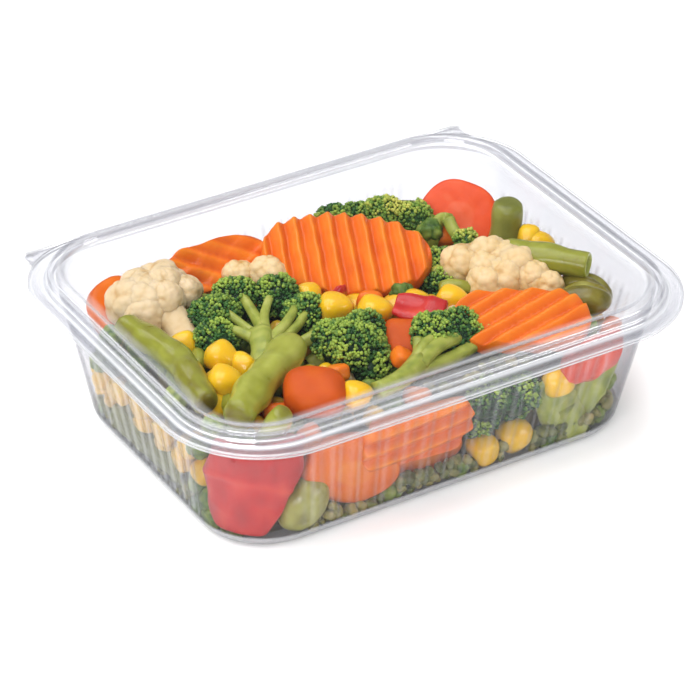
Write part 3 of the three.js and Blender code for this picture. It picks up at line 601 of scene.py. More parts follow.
def buds(lumps, size, seed, shift=0.0, cover=-0.15):
    """The beaded face of a crown: small balls over each lump, in tufts that stand up on larger knobs,
    leaving out those under the crown or inside another lump. The tufts' tips are palest, partly their own
    yellow-green and partly painted light, the gaps between tufts get painted shade, and buds higher on a
    lump are a little paler as painted light from above."""
    places, tones, ways = [], [], []
    rng = np.random.default_rng(seed)
    lumps = np.asarray(lumps, float)
    for k, (*middle, r) in enumerate(lumps):
        count = int(4 * np.pi * r * r / (0.72 * size * size))
        way = unit(ball_directions(count) + rng.normal(scale=0.4 * size / r, size=(count, 3)))
        knob, _ = raised(way, 9, 0.3, seed + 20 + k)
        tuft, _ = raised(way, int(1.5 * r * r), 0.6 / r, seed + 40 + k)
        reach = r * (0.85 + 0.09 * knob) + 0.9 * tuft + rng.normal(scale=0.12, size=count)
        at = way * reach[:, None] + middle
        keep = way[:, 2] > cover - 0.2 * rng.random(count)
        for other, (*centre, around) in enumerate(lumps):
            if other != k:
                keep &= np.linalg.norm(at - centre, axis=1) > 0.93 * around
        places.append(at[keep])
        ways.append(way[keep])
        # Painted light on knobs, tufts and higher buds and painted shade between them, with random tone.
        shade = shift + 0.2 + 0.16 * knob + 0.34 * tuft + 0.08 * rng.normal(size=count)
        shade += 0.25 * wobble(at, 12, seed) + 0.03 * (at[:, 2] - middle[2])
        tones.append(shade[keep])
    places, ways, tones = (np.concatenate(a) for a in (places, ways, tones))
    polar, angle = np.array([0.6, 1.5, 2.4])[:, None], circle(5)
    x, y = np.sin(polar) * np.cos(angle), np.sin(polar) * np.sin(angle)
    bead = closed(stacked(x, y, np.cos(polar) * 1.15) / 2)
    sizes = size * rng.uniform(0.8, 1.35, len(places))
    return copies(bead, facing(ways), places, sizes, np.clip(tones, 0, 1))


# Single pieces. A row holds the measures that its form's function takes, in order, then its place, then the
# yaw, pitch and roll in degrees that turn it before it is set down. Beans add which ends are hollow and how
# much paler they are, and kernels come as place, turn and size.
CARROTS = {
    "carrot_slice_large": ("slice", (57, 33, 7, 5.7, 2.3, (0.2, 0.05), 17), (14.5, 28.8, 40), (-40, 0, 21)),
    "carrot_slice_right": ("slice", (22, 45, 6, 5, 1.8, (0.5, 0.5), 34), (40, -37.5, 42), (61, -20, 0)),
    "carrot_slice_back_left": ("slice", (17, 42, 5, 5.5, 0.8, (0.4, 0.4), -35, 1.3), (-24, 51, 36.5), (90, -40, 0)),
    "carrot_slice_far_left": ("round", (12, 6), (-60.5, 48.5, 33), (20, 0, 38)),
    "carrot_slice_round": ("round", (13.5, 6), (66, 40, 34), (-31, 0, 48)),
    "carrot_lump_front": ("lump", (20, 17, 13), (-37.8, -38, 41), (-31, 0, 20)),
    "carrot_lump_middle": ("lump", (16, 16, 12), (5.2, -22.4, 37), (-31, 0, 30)),
    "carrot_slice_front_top": ("slice", (19, 41, 6, 6.3, 2, (0.7, 0.7), 4), (-11, -55, 26), (90, -101, 0)),
    "carrot_slice_front_low": ("round", (18, 6, 0.72), (-33, -51.5, 19), (0, 35, 101)),
    "carrot_slice_front_right": ("round", (13, 6, 0.7), (-3, -47.5, 12), (0, 0, 101)),
    "carrot_corner_right": ("round", (10, 6), (72, -41, 24), (42, 0, 97)),
    "carrot_slice_right_wall": ("slice", (40, 22, 6, 6.7, 1.8), (73.5, 0, 20), (90, 0, 99)),
    "carrot_slice_back_wall": ("slice", (46, 24, 6, 5.8, 1.8), (0, 53.5, 20), (180, 8, 98)),
}
# Carrots whose flesh isn't the plain one.
OTHER_FLESH = {
    "carrot_slice_round": "cooked_carrot_red",
    "carrot_lump_front": "cooked_carrot_deep",
    "carrot_lump_middle": "cooked_carrot_deep",
}
BEANS = {
    "bean_thick": ((42, 6, 1), (-49, -26.5, 43.4), (37, 0, 0), (False, False), 0.12),
    "bean_left": ((52, 5.0, -4.5), (-70, 1, 41.5), (90, 0, 0), (False, True), -0.08),
    "bean_right": ((27, 5.1), (67, -13, 44.5), (-49, 0, 0), (False, True), 0.0),
    "bean_upright": ((23, 6.2), (71.5, 19, 35), (-31, -88, 0), (False, False), 0.28),
    "bean_back": ((18, 4.4), (49, 56.5, 33), (-31, 0, 0), (False, True), 0.05),
    "bean_right_wall": ((30, 5.2), (70, 36, 12), (-70, 20, 0), (True, False), 0.0),
    "bean_left_wall": ((46, 5.6), (-71.5, 6, 8.5), (90, 4, 0), (True, True), 0.0),
    "stem_front_left": ((14, 4.4), (-56.5, -44, 37), (-60, -62, 0), (False, False), 0.2),
}
OLIVES = {
    "olive_right_a": ((17, 13, 11), (68.5, -33, 39), (-40, 0, 0)),
    "olive_right_b": ((20, 13, 14), (74, -24, 35), (-60, 0, 0)),
    "olive_front": ((20, 15, 16), (-49.8, -50, 11), (0, -50, 0)),
}
PEPPERS = {
    "pepper_top": ((17, 11, 3.4, 11), (13.7, -17.9, 45), (-45, 0, 12)),
    "pepper_corner": ((35, 33, 5, 19, 0.55), (-67, -50, 21.5), (57, -96, 0)),
    "pepper_right": ((24, 17, 5, 26), (56, -55, 31.5), (8, 0, 98)),
    "pepper_back_wall": ((24, 20, 5, 22), (-36, 52, 17), (180, 0, 96)),
}
# How much paler than their like some pieces are all over.
PALER = {"pepper_right": 0.4, "olive_front": 0.35}
KERNELS = [
    ((-52.4, -4.7, 41), (-60, 20), 10.5), ((-47.4, -10.1, 39), (10, 40), 9),
    ((-59.5, -19.3, 42.5), (-30, 10), 10.5),
    ((-6.3, 2.1, 41), (-31, 0), 11), ((3, -7.6, 42), (-31, 0), 11), ((-27, -45.5, 41), (-10, 0), 9.5),
    ((29.8, -12.1, 40), (-45, 0), 10), ((76.4, 5.7, 38), (-31, 0), 9), ((17, -51, 8), (0, 80), 11.3),
    ((29, -51, 9), (90, 80), 11.6), ((43.5, -53.5, 26), (90, 30), 10.5), ((-76, 20, 22), (90, 20), 9.5),
    ((-76, 6, 24), (60, 40), 9.5), ((-76.5, -9, 23), (110, 0), 9.5), ((-74, -23, 25), (90, 60), 9.5),
]
# The core inside each lump of a crown, toned dark as painted shade between the buds: its share of the
# lump's radius, and what its tone is cut to.
CROWN_SHADE_CORE = dict(share=0.84, tone=0.2)
# Crowns as lumps (place and radius), stalks (two places and two radii) and how much paler the buds are.
CROWNS = {
    "broccoli_middle": dict(
        lumps=[(-11, -20, 38, 10), (-15, -12, 38, 8), (-5, -14, 39, 8), (-9, -24, 34, 8)], shift=0.06,
        stalks=[((-22, -10, 30), (-12, -16, 36), 4, 5)],
    ),
    "broccoli_front": dict(
        lumps=[(12, -29, 41, 8), (21, -30, 40, 8), (26.5, -33, 37.5, 6)], shift=0.06,
        stalks=[
            ((-20, -46, 40), (0, -39.5, 41), 3.4, 3.4), ((-1, -40, 41), (9, -33.5, 43), 3, 2.2),
            ((-1, -41, 41), (17, -34.5, 41.5), 3, 2.4), ((-3, -41.5, 40), (25, -36, 38.5), 2.8, 2.2),
            ((-1, -39, 41), (5.5, -30, 42.5), 2.6, 2),
        ],
    ),
    "broccoli_large": dict(
        lumps=[
            (-47, 9, 37.5, 7.6), (-41, 21, 38, 8.4), (-30, 26, 38.5, 8.4), (-18, 20, 38.5, 8.4),
            (-14.5, 7, 38, 7.6),
        ],
        stalks=[
            ((-43, -12, 37), (-35, 1, 40), 3.6, 4.6), ((-37, -4, 40), (-45, 13, 40), 2.2, 1.5),
            ((-36, -2, 40.5), (-39, 17.5, 42.5), 2, 1.4), ((-34, -1, 41), (-30, 21, 43), 2.5, 1.5),
            ((-34, -1, 41), (-21, 18, 42.5), 2.2, 1.4), ((-35, -4, 40), (-17.5, 8, 42), 2.3, 1.5),
            ((-35, -5, 39.5), (-16.5, 3.5, 41.5), 2.1, 1.4), ((-36, -7, 38.5), (-17, -8, 41), 2.6, 2.4),
        ],
    ),
    "broccoli_back_dark": dict(lumps=[(26, 56, 36, 7), (34, 54, 35, 7)]),
    "broccoli_back_pale": dict(
        lumps=[(42, 50, 36, 8), (50, 43, 36, 7)], stalks=[((48, 30, 34), (50, 42, 35), 3, 5)]
    ),
    "broccoli_stem": dict(
        lumps=[(56, 20, 38, 4)],
        stalks=[((56, 20, 38), (56, 31, 41), 2.4, 2.2), ((56, 31, 41), (53, 34, 38), 2.2, 2.4)],
    ),
    "broccoli_right_small": dict(lumps=[(42, 14, 34, 8), (38, 6, 33, 7)]),
    "broccoli_front_wall": dict(
        lumps=[(19, -50, 26, 8), (30, -50, 24, 8), (17, -46, 17, 8), (30, -45, 17, 7)]
    ),
    "broccoli_front_right": dict(
        lumps=[(46, -45, 18, 7.5), (61, -42, 17, 8.5)],
        stalks=[
            ((52, -48, 3), (47, -51, 16), 4, 5), ((53, -48, 3), (60, -47, 16), 4, 5),
        ],
    ),
    "broccoli_back_wall": dict(
        lumps=[(34, 48, 20, 9), (43, 46, 15, 8)], stalks=[((24, 50, 8), (33, 49, 16), 4, 5)]
    ),
}
# Leaf-like pale stems that are pressed against the front wall beside a crown.
LEAVES = {
    "broccoli_front_right": [
        ((30, 15, 3.5, 9), (46, -53, 15), (0, -118, 90)), ((30, 14, 3.5, 9), (58, -51.5, 16), (0, -58, 90)),
        ((22, 12, 3, 8), (66, -46, 18), (25, -80, 90)),
    ],
}
CURDS = {
    "cauliflower_left": dict(
        lumps=[
            (-60, 41.5, 39, 9), (-48, 45, 40.5, 8.4), (-43, 37, 40, 6.6), (-59, 34, 37, 8.8), (-52, 35, 41.5, 7.6),
            (-55, 41, 41.5, 8), (-49, 40, 42.5, 7.4), (-57, 37, 40.5, 8), (-45, 42, 40.5, 6.6), (-54, 46, 41, 7.2),
        ],
        stalks=[((-53, 17, 33), (-53, 34, 38), 5, 7)],
    ),
    "cauliflower_right": dict(
        lumps=[
            (45, 5, 40, 7.6), (53, 1, 41, 8.4), (57, -9, 41, 8.4), (61, -20, 39, 6.6), (47, -8, 38, 7.8),
            (49, 3.5, 40.8, 7.2), (55.5, -4, 41.6, 7.6), (52, -10, 40, 7.4), (59.5, -14.5, 40.2, 7.2),
            (50, -3, 40.4, 7.6),
        ],
    ),
    "cauliflower_small": dict(lumps=[(-19, 43, 36, 6), (-11, 37, 37, 7)]),
}
YELLOWED = ("cauliflower_right", "cauliflower_small")
# Small pieces that show on top of the heap, each at its own place.
SHOWN = [
    ("loose_maize", (-57, 13, 37)), ("loose_maize", (-65, -22.5, 36.5)), ("loose_bean_cuts", (-56.5, 4, 36)),
    ("loose_bean_cuts", (-61.5, -25.5, 37.5)), ("loose_carrot", (-50, -34.3, 35.5)),
    ("loose_green_bits", (50, 33, 37)), ("loose_bean_cuts", (39.7, 7.6, 37)), ("loose_maize", (74, 9, 39)),
]


# Materials


def node(tree, kind, values=None, links=None, **settings):
    """Adds a shader node, sets its properties and its sockets' values, and links sockets into it. A node
    that is given in place of a socket means its first one."""
    made = tree.nodes.new("ShaderNode" + kind)
    for key, value in settings.items():
        setattr(made, key, value)
    for key, value in (values or {}).items():
        made.inputs[key].default_value = value
    for key, source in (links or {}).items():
        tree.links.new(source.outputs[0] if hasattr(source, "outputs") else source, made.inputs[key])
    return made


def blank(name):
    """A material with an empty node tree and its output."""
    material = bpy.data.materials.get(name) or bpy.data.materials.new(name)
    material.use_nodes = True
    material.node_tree.nodes.clear()
    return material, material.node_tree, node(material.node_tree, "OutputMaterial")


# Finishes of the vegetables. Each row holds its low-tone colour, painted shade in the carrots' troughs,
# the curds' creases and between broccoli buds and a real colour elsewhere, such as a bean's shut end; its
# own colour, as a code or as the name of a sidebar colour; and its palest colour, painted light on those
# crests, knobs and tufts and a real colour elsewhere, such as a carrot's pith. Then come the grain and its
# relief in millimetres, the roughness, the wet coat, the share of light that passes into it and how far
# red, green and blue light go.
WARM = (1.0, 0.5, 0.2)
GREEN = (0.5, 0.8, 0.2)
BUDS = (0.4, 0.8, 0.2)
FINISHES = {
    # Cooked carrot: cut faces with fine pores, hardly wet, and duller where it is a torn lump.
    "cooked_carrot": ("CE520A", "carrot", "F3901E", 1.6, 0.25, 0.42, 0.12, 0.12, WARM),
    "cooked_carrot_red": ("C83C16", "carrot_red", "F47E54", 1.6, 0.25, 0.42, 0.12, 0.12, WARM),
    "cooked_carrot_deep": ("A43E00", "C85000", "DC6C08", 1.6, 0.25, 0.55, 0.03, 0.12, WARM),
    "diced_carrot": ("CE520A", "carrot", "F3901E", 1.6, 0.25, 0.42, 0.12, 0.12, WARM),
    # Cooked green bean: a smooth waxy pod with a wet gloss.
    "cooked_green_bean": ("6E5F1E", "bean", "BFC45A", 1.2, 0.12, 0.3, 0.45, 0.12, GREEN),
    "cooked_green_bean_dark": ("4F5424", "767A2C", "A9AC58", 1.2, 0.12, 0.34, 0.3, 0.12, GREEN),
    "sliced_green_bean": ("6E5F1E", "bean", "BFC45A", 1.2, 0.12, 0.34, 0.3, 0.12, GREEN),
    # Broccoli: matt buds with painted shade between the tufts, on smoother stalks.
    "broccoli_buds": ("14331E", "broccoli", "A6BE4A", 1.0, 0.1, 0.5, 0.12, 0.05, BUDS),
    "broccoli_buds_pale": ("34602A", "7C9C38", "D0D060", 1.0, 0.1, 0.5, 0.12, 0.05, BUDS),
    "broccoli_stalk": ("66762C", "stem", "C2C26C", 1.4, 0.15, 0.42, 0.2, 0.12, (0.5, 0.9, 0.3)),
    "broccoli_bits": ("1E3C1C", "56742A", "A4B04C", 1.0, 0.2, 0.5, 0.12, 0.12, WARM),
    # Cauliflower: soft, matt curds that light passes into.
    "cooked_cauliflower": ("BC8E4A", "cauliflower", "EAD2AE", 1.0, 0.2, 0.55, 0.08, 0.2, (1.0, 0.8, 0.5)),
    "cooked_cauliflower_yellowed": ("BC8630", "E6C68E", "EED6AA", 1.0, 0.25, 0.5, 0.12, 0.2, (1.0, 0.8, 0.4)),
    "cauliflower_bits": ("B07420", "cauliflower", "EFD4B7", 1.0, 0.2, 0.5, 0.1, 0.2, WARM),
    # Maize: a taut waxy skin over bright flesh. Pepper: a glossy skin, paler and duller on its flesh side.
    "cooked_maize": ("D8AE50", "corn", "F6C828", 2.0, 0.08, 0.26, 0.55, 0.3, (1.0, 0.7, 0.1)),
    "cooked_red_pepper": ("980E10", "pepper", "E8583C", 1.8, 0.15, 0.3, 0.4, 0.1, (1.0, 0.2, 0.1)),
    "green_olive": ("4C4A18", "olive", "B4B45E", 1.2, 0.1, 0.28, 0.5, 0.12, (0.6, 0.8, 0.2)),
    # What lies under and between the pieces: mixed scraps, dark as painted shade for the gaps between them.
    "heap_core_flesh": ("2E2A12", "6A5A22", "A8803A", 2.5, 0.4, 0.42, 0.35, 0.12, WARM),
    "vegetable_crumbs": ("3E4A24", "6E743A", "A89A5A", 1.0, 0.2, 0.5, 0.2, 0.12, WARM),
}


def vegetable(name):
    """Cooked vegetable flesh: three colours mixed by the skin's tone with a mottle of the grain's size
    in millimetres, a bump of the same grain, a thin wet coat and a little light through the flesh."""
    shade, own, tip, grain, relief, rough, wet, soft, glow = FINISHES[name]
    food = bpy.context.scene.takeaway_food
    base = getattr(food, own) if hasattr(food, own) else linear(own)
    material, tree, out = blank(name)
    place = node(tree, "TexCoord").outputs["Object"]
    tone = node(tree, "Attribute", attribute_name="tone").outputs["Fac"]
    mottle = node(tree, "TexNoise", {"Scale": 1000 / (4 * grain), "Detail": 4.0}, {"Vector": place})
    fine = node(tree, "TexNoise", {"Scale": 1000 / grain, "Detail": 3.0}, {"Vector": place})
    sway = node(tree, "Math", {1: 0.5, 2: -0.25}, {0: mottle}, operation="MULTIPLY_ADD")
    mixed = node(tree, "Math", None, {0: tone, 1: sway}, operation="ADD")
    low = node(tree, "MapRange", {"From Min": 0.1, "From Max": 0.5}, {"Value": mixed})
    high = node(tree, "MapRange", {"From Min": 0.5, "From Max": 0.95}, {"Value": mixed})
    lower = node(tree, "Mix", {6: linear(shade), 7: base}, {0: low}, data_type="RGBA")
    colour = node(tree, "Mix", {7: linear(tip)}, {0: high, 6: lower.outputs[2]}, data_type="RGBA")
    bump = node(tree, "Bump", {"Strength": 0.5, "Distance": relief * MM}, {"Height": fine})
    gloss = node(tree, "MapRange", {"To Min": rough - 0.1, "To Max": rough + 0.12}, {"Value": mottle})
    flesh = node(
        tree,
        "BsdfPrincipled",
        {
            "IOR": 1.4, "Specular IOR Level": 0.35, "Coat Weight": wet, "Coat Roughness": 0.12,
            "Subsurface Weight": soft, "Subsurface Radius": glow, "Subsurface Scale": 0.003,
        },
        {"Base Color": colour.outputs[2], "Roughness": gloss, "Normal": bump},
    )
    tree.links.new(flesh.outputs[0], out.inputs[0])
    return material


def sheet_material(tint):
    """Thermoformed clear polyester sheet: light passes, less of it at a glance, and both faces mirror the
    studio as a gloss plastic does. At a glance what passes is also greyed, partly as painted reflection
    of the grey round the sheet. Its bends and the drawn flutes get a whitish painted light that stands in
    for the light they catch, and mirror more of the studio."""
    material, tree, out = blank("clear_thermoformed_sheet")
    tone = node(tree, "Attribute", attribute_name="tone").outputs["Fac"]
    glance = node(tree, "LayerWeight", {"Blend": 0.5}).outputs["Facing"]
    slant = node(tree, "Math", {1: 2.0}, {0: glance}, operation="POWER")
    # Less light passes at a glance; its grey is partly painted reflection of the grey round the sheet.
    passed = node(tree, "Mix", {6: tint, 7: linear("D2D3D7")}, {0: slant}, data_type="RGBA")
    clear = node(tree, "BsdfTransparent", None, {"Color": passed.outputs[2]})
    # Whitish painted light, mixed in by the tone on the bends, the flutes' flanks and the bottom edge.
    painted_light = node(tree, "BsdfDiffuse", {"Color": linear("DFE1E4")})
    drawn = node(tree, "MapRange", {"From Min": PLAIN_TONE, "From Max": 1.0, "To Max": 0.36}, {"Value": tone})
    body = node(tree, "MixShader", None, {0: drawn, 1: clear, 2: painted_light})
    gloss = node(
        tree, "BsdfPrincipled", {"Base Color": linear("F6F6F7"), "Roughness": 0.08, "IOR": 1.5, "Metallic": 1.0}
    )
    steep = node(tree, "Math", {1: 6.0}, {0: glance}, operation="POWER")
    plain = node(tree, "Math", {1: 0.5, 2: 0.006}, {0: steep}, operation="MULTIPLY_ADD")
    edge = node(tree, "Math", {1: 0.32}, {0: drawn, 2: plain}, operation="MULTIPLY_ADD")
    film = node(tree, "MixShader", None, {0: edge, 1: body, 2: gloss})
    tree.links.new(film.outputs[0], out.inputs[0])
    return material


class TAKEAWAY_OT_tray(bpy.types.Operator):
    """Clear tray with fluted walls, a snap bead and a wide flange"""

    bl_idname = "takeaway.tray"
    bl_label = "Clear tray"

    def execute(self, context):
        sizes = context.scene.takeaway_box
        thick = sizes.tray_sheet * 1000
        skin = sheet_skin(softened(TRAY_STATIONS), thick, sizes.rib_depth * 1000)
        skin = joined([skin, fold_strip(FLANGE_TOP, thick)])
        to_mesh("clear_tray", skin, sheet_material(sizes.tint), "clear_plastic", "box", ["tray"])
        return {"FINISHED"}


class TAKEAWAY_OT_lid(bpy.types.Operator):
    """Clear lid with a recessed panel, a raised ridge and a flange"""

    bl_idname = "takeaway.lid"
    bl_label = "Clear lid"

    def execute(self, context):
        sizes = context.scene.takeaway_box
        thick = sizes.lid_sheet * 1000
        skin = joined([sheet_skin(softened(LID_STATIONS), thick), fold_strip(LID_FLANGE_TOP, thick)])
        to_mesh("clear_lid", skin, sheet_material(sizes.tint), "clear_plastic", "lid", ["lid"])
        return {"FINISHED"}


class TAKEAWAY_OT_carrots(bpy.types.Operator):
    """Carrot slices, crinkle cut and round"""

    bl_idname = "takeaway.carrots"
    bl_label = "Carrots"

    def execute(self, context):
        flesh = {kind: vegetable(kind) for kind in ("cooked_carrot", *sorted(set(OTHER_FLESH.values())))}
        forms = dict(slice=crinkle_slice, round=round_slice, lump=chunk)
        for k, (name, (form, size, at, turn)) in enumerate(CARROTS.items()):
            kind = OTHER_FLESH.get(name, "cooked_carrot")
            lay_down(name, forms[form](*size, seed=11 + k), at, turn, flesh[kind], "_flesh")
        return {"FINISHED"}


class TAKEAWAY_OT_beans(bpy.types.Operator):
    """Cut green beans and a cut stem"""

    bl_idname = "takeaway.beans"
    bl_label = "Beans"

    def execute(self, context):
        pod, dark = vegetable("cooked_green_bean"), vegetable("cooked_green_bean_dark")
        for k, (name, (size, at, turn, hollow, shift)) in enumerate(BEANS.items()):
            made = bean_pod(*size, seed=31 + k, hollow=hollow, shift=shift)
            lay_down(name, made, at, turn, dark if SLOTS[name] == "bean_dark" else pod, "_pod")
        return {"FINISHED"}


class TAKEAWAY_OT_broccoli(bpy.types.Operator):
    """Broccoli florets: branching stalks under crowns of small buds"""

    bl_idname = "takeaway.broccoli"
    bl_label = "Broccoli"

    def execute(self, context):
        size = context.scene.takeaway_food.bud * 1000
        bud, pale, stem = (vegetable(kind) for kind in ("broccoli_buds", "broccoli_buds_pale", "broccoli_stalk"))
        for k, (name, crown) in enumerate(CROWNS.items()):
            parts = []
            for n, (x, y, z, r) in enumerate(crown["lumps"]):
                # A dark core in each lump: painted shade that shows between the buds.
                inner = r * CROWN_SHADE_CORE["share"]
                core, faces, tones = curd(x, y, z, inner, seed=50 + 7 * k + n, rings=18, around=24)
                parts.append((core, faces, tones * CROWN_SHADE_CORE["tone"]))
            parts.append(buds(crown["lumps"], size, 80 + k, crown.get("shift", 0.0)))
            slot = SLOTS[name]
            to_mesh(name + "_crown", joined(parts), pale if slot == "broccoli_pale" else bud, slot, "box", [name])
            if "stalks" in crown:
                stalks = [branch(*stalk, seed=90 + 5 * k + n) for n, stalk in enumerate(crown["stalks"])]
                for n, (leaf, at, turn) in enumerate(LEAVES.get(name, [])):
                    stalks.append(set_down(pepper_strip(*leaf, seed=140 + n), at, turn))
                to_mesh(name + "_stalks", joined(stalks), stem, "broccoli_pale", "box")
        return {"FINISHED"}


class TAKEAWAY_OT_cauliflower(bpy.types.Operator):
    """Cauliflower florets"""

    bl_idname = "takeaway.cauliflower"
    bl_label = "Cauliflower"

    def execute(self, context):
        plain, yellowed = vegetable("cooked_cauliflower"), vegetable("cooked_cauliflower_yellowed")
        for k, (name, floret) in enumerate(CURDS.items()):
            is_yellow = name in YELLOWED
            knobs = dict(grains=80, grain=0.05) if is_yellow else {}
            parts = [curd(*lump, seed=120 + 9 * k + n, **knobs) for n, lump in enumerate(floret["lumps"])]
            parts += [branch(*stalk, seed=150 + n, around=20) for n, stalk in enumerate(floret.get("stalks", []))]
            to_mesh(name + "_curds", joined(parts), yellowed if is_yellow else plain, "cauliflower", "box", [name])
        return {"FINISHED"}


class TAKEAWAY_OT_maize(bpy.types.Operator):
    """Maize kernels that lie clear on the heap or against the wall"""

    bl_idname = "takeaway.maize"
    bl_label = "Maize"

    def execute(self, context):
        corn = vegetable("cooked_maize")
        for k, (at, turn, size) in enumerate(KERNELS):
            made = maize_kernel(size, seed=170 + k, rings=24, around=32)
            lay_down(f"maize_kernel_{k + 1}", made, at, turn, corn, "", f"corn_kernel_{k + 1}")
        return {"FINISHED"}


class TAKEAWAY_OT_peppers(bpy.types.Operator):
    """Curled strips of red pepper"""

    bl_idname = "takeaway.peppers"
    bl_label = "Peppers"

    def execute(self, context):
        skin = vegetable("cooked_red_pepper")
        for k, (name, (size, at, turn)) in enumerate(PEPPERS.items()):
            lay_down(name, pepper_strip(*size, seed=200 + k), at, turn, skin, "_strip")
        return {"FINISHED"}


class TAKEAWAY_OT_olives(bpy.types.Operator):
    """Green olives and olive-coloured pieces with a slit"""

    bl_idname = "takeaway.olives"
    bl_label = "Olives"

    def execute(self, context):
        skin = vegetable("green_olive")
        for k, (name, (size, at, turn)) in enumerate(OLIVES.items()):
            lay_down(name, olive(*size, seed=220 + k), at, turn, skin, "_skin")
        return {"FINISHED"}


# Where small vegetables may lie, in millimetres: rows down the walls, and layers over the core inside an
# outline with round corners, but not on the stalks of the front floret.
WALL_ROWS = dict(inset=6.8, low=4.8, high=38, over_core=4)
TOP_LAYERS = dict(above=1.5, step=5.2, corners=(51, 32), reach=22)
FRONT_STALKS = dict(left=-2, right=34, back=-34)
# The gap that they keep to the large pieces, the gap for crumbs, how far off large pieces are looked for,
# and how far behind a place.
SMALL_GAP, CRUMB_GAP, NEARBY, BEHIND = 2.8, 1.4, 20, 11
# Along the left wall maize makes a leaning band between greens, and low down at the front all is green.
LEFT_BAND = dict(past=-64, height=17.5, lean=-0.14, half=7)
FRONT_GREENS = dict(past=-38, below=16)
# Rings of crumbs along the tray's bottom edge, as height and inset, and the spacing of these and of a grid.
CRUMB_RINGS = ((3.0, 4.6), (5.6, 4.2), (8.4, 4.2), (3.2, 8.5))
CRUMBS = dict(ring_step=3.6, grid_step=4.4, above=2.2, apart=4.6)
# Least and most size, as a share of the one that is copied, and least and most tone, of loose pieces and crumbs.
LOOSE_SIZES, LOOSE_TONES = (0.85, 1.12), (0.35, 0.65)
CRUMB_SIZES, CRUMB_TONES = (0.6, 1.2), (0.2, 0.75)


def heap_top(x, y):
    """Height of the heap's core: level in the middle, falling smoothly to the fold and the right end."""
    back = smooth(y, 10, TOP["half_y"])
    right = smooth(x, 40, TOP["half_x"]) * (1 - back)
    return HEAP["middle"] - (HEAP["middle"] - HEAP["back"]) * back - (HEAP["middle"] - HEAP["right"]) * right


def wall_loop(z, inset, count):
    """One loop of places round the tray's wall at a height, drawn in by the inset."""
    u = np.linspace(0, 4, count, endpoint=False)
    return rounded_loops(u, *np.array([wall(z, inset)])[:, :5].T)[0]


def heap_core():
    """The core under the small vegetables: shares of one outline from the middle out, at the heap's
    height, then straight down to the tray's bottom, all of it uneven."""
    share = np.concatenate([np.linspace(0.05, 1, 24), np.ones(7)])[:, None, None]
    flat = wall_loop(HEAP["back"], HEAP["inset"], 160) * share
    top = heap_top(flat[..., 0], flat[..., 1])
    fall = np.concatenate([np.ones(24), np.linspace(0.85, 0, 7)])[:, None]
    rows = np.concatenate([flat, (HEAP["low"] + (top - HEAP["low"]) * fall)[..., None]], -1)
    rows[1:-2] += 0.8 * wobble(rows[1:-2], 9, 301)[..., None]
    return closed(rows, 0.4 + 0.4 * wobble(rows, 8, 302))


def piece_trees(names):
    """A search tree over each named CAD node's triangles."""
    meshes = [bpy.data.objects[name].data for name in names]
    corners = [[v.co.copy() for v in mesh.vertices] for mesh in meshes]
    return [BVHTree.FromPolygons(co, [p.vertices for p in mesh.polygons]) for co, mesh in zip(corners, meshes)]


def is_clear(trees, place, gap, way=None):
    """Whether a place lies outside every large piece by a gap, with none close behind it along a way."""
    spot = Vector((place + (0, CENTRE_Y, 0)) * MM)
    for tree in trees:
        near, normal, _, away = tree.find_nearest(spot, NEARBY * MM)
        if near is not None and (away < gap * MM or (spot - near).dot(normal) < 0):
            return False
        if way is not None and tree.ray_cast(spot, Vector(way), BEHIND * MM)[0] is not None:
            return False
    return True


def wall_ring(z, inset, start, spacing):
    """Places at even steps round the tray's wall at one height, drawn in by the inset."""
    loop = wall_loop(z, inset, 900)[0]
    length = np.concatenate([[0], np.cumsum(np.linalg.norm(np.diff(loop, axis=0), axis=1))])
    x, y = (np.interp(np.arange(start, length[-1], spacing), length, loop[:, k]) for k in (0, 1))
    return stacked(x, y, z)


def free_places(trees, spacing, seed, taken):
    """Places for the small vegetables: rows down the walls at the room's edge, and layers over the core,
    in a jittered grid. A place is kept if it is clear of every large piece and of those kept before, and
    has no large piece close behind it, seen from the wall or from above."""
    rng = np.random.default_rng(seed)
    heights = np.arange(WALL_ROWS["low"], WALL_ROWS["high"], spacing * 0.9)
    walls = [wall_ring(z, WALL_ROWS["inset"], rng.uniform(0, spacing), spacing) for z in heights]
    walls = np.concatenate(walls)
    walls = walls[walls[:, 2] < heap_top(walls[:, 0], walls[:, 1]) + WALL_ROWS["over_core"]]
    inward = unit(np.clip(walls, (-45, -28, 0), (45, 28, 60)) - walls)
    grid = np.meshgrid(np.arange(-80, 80, spacing), np.arange(-62, 62, spacing), [0, 1], indexing="ij")
    x, y, layer = (g.ravel() for g in grid)
    tops = stacked(x, y, heap_top(x, y) + TOP_LAYERS["above"] + TOP_LAYERS["step"] * layer)
    past = np.maximum(np.abs(tops[:, :2]) - TOP_LAYERS["corners"], 0)
    on_stalks = (x > FRONT_STALKS["left"]) & (x < FRONT_STALKS["right"]) & (y < FRONT_STALKS["back"])
    tops = tops[(np.linalg.norm(past, axis=1) < TOP_LAYERS["reach"]) & ~on_stalks]
    found = np.concatenate([walls, tops])
    found = found + rng.normal(scale=0.14 * spacing, size=found.shape) * [1, 1, 0.5]
    behind = np.concatenate([inward, np.broadcast_to([0.0, 0.0, -1.0], tops.shape)])
    kept = list(taken)
    for place, way in zip(found, behind):
        is_free = np.min(np.linalg.norm(np.array(kept) - place, axis=1)) >= spacing * 0.8
        if is_free and is_clear(trees, place, SMALL_GAP, way):
            kept.append(place)
    return np.array(kept)


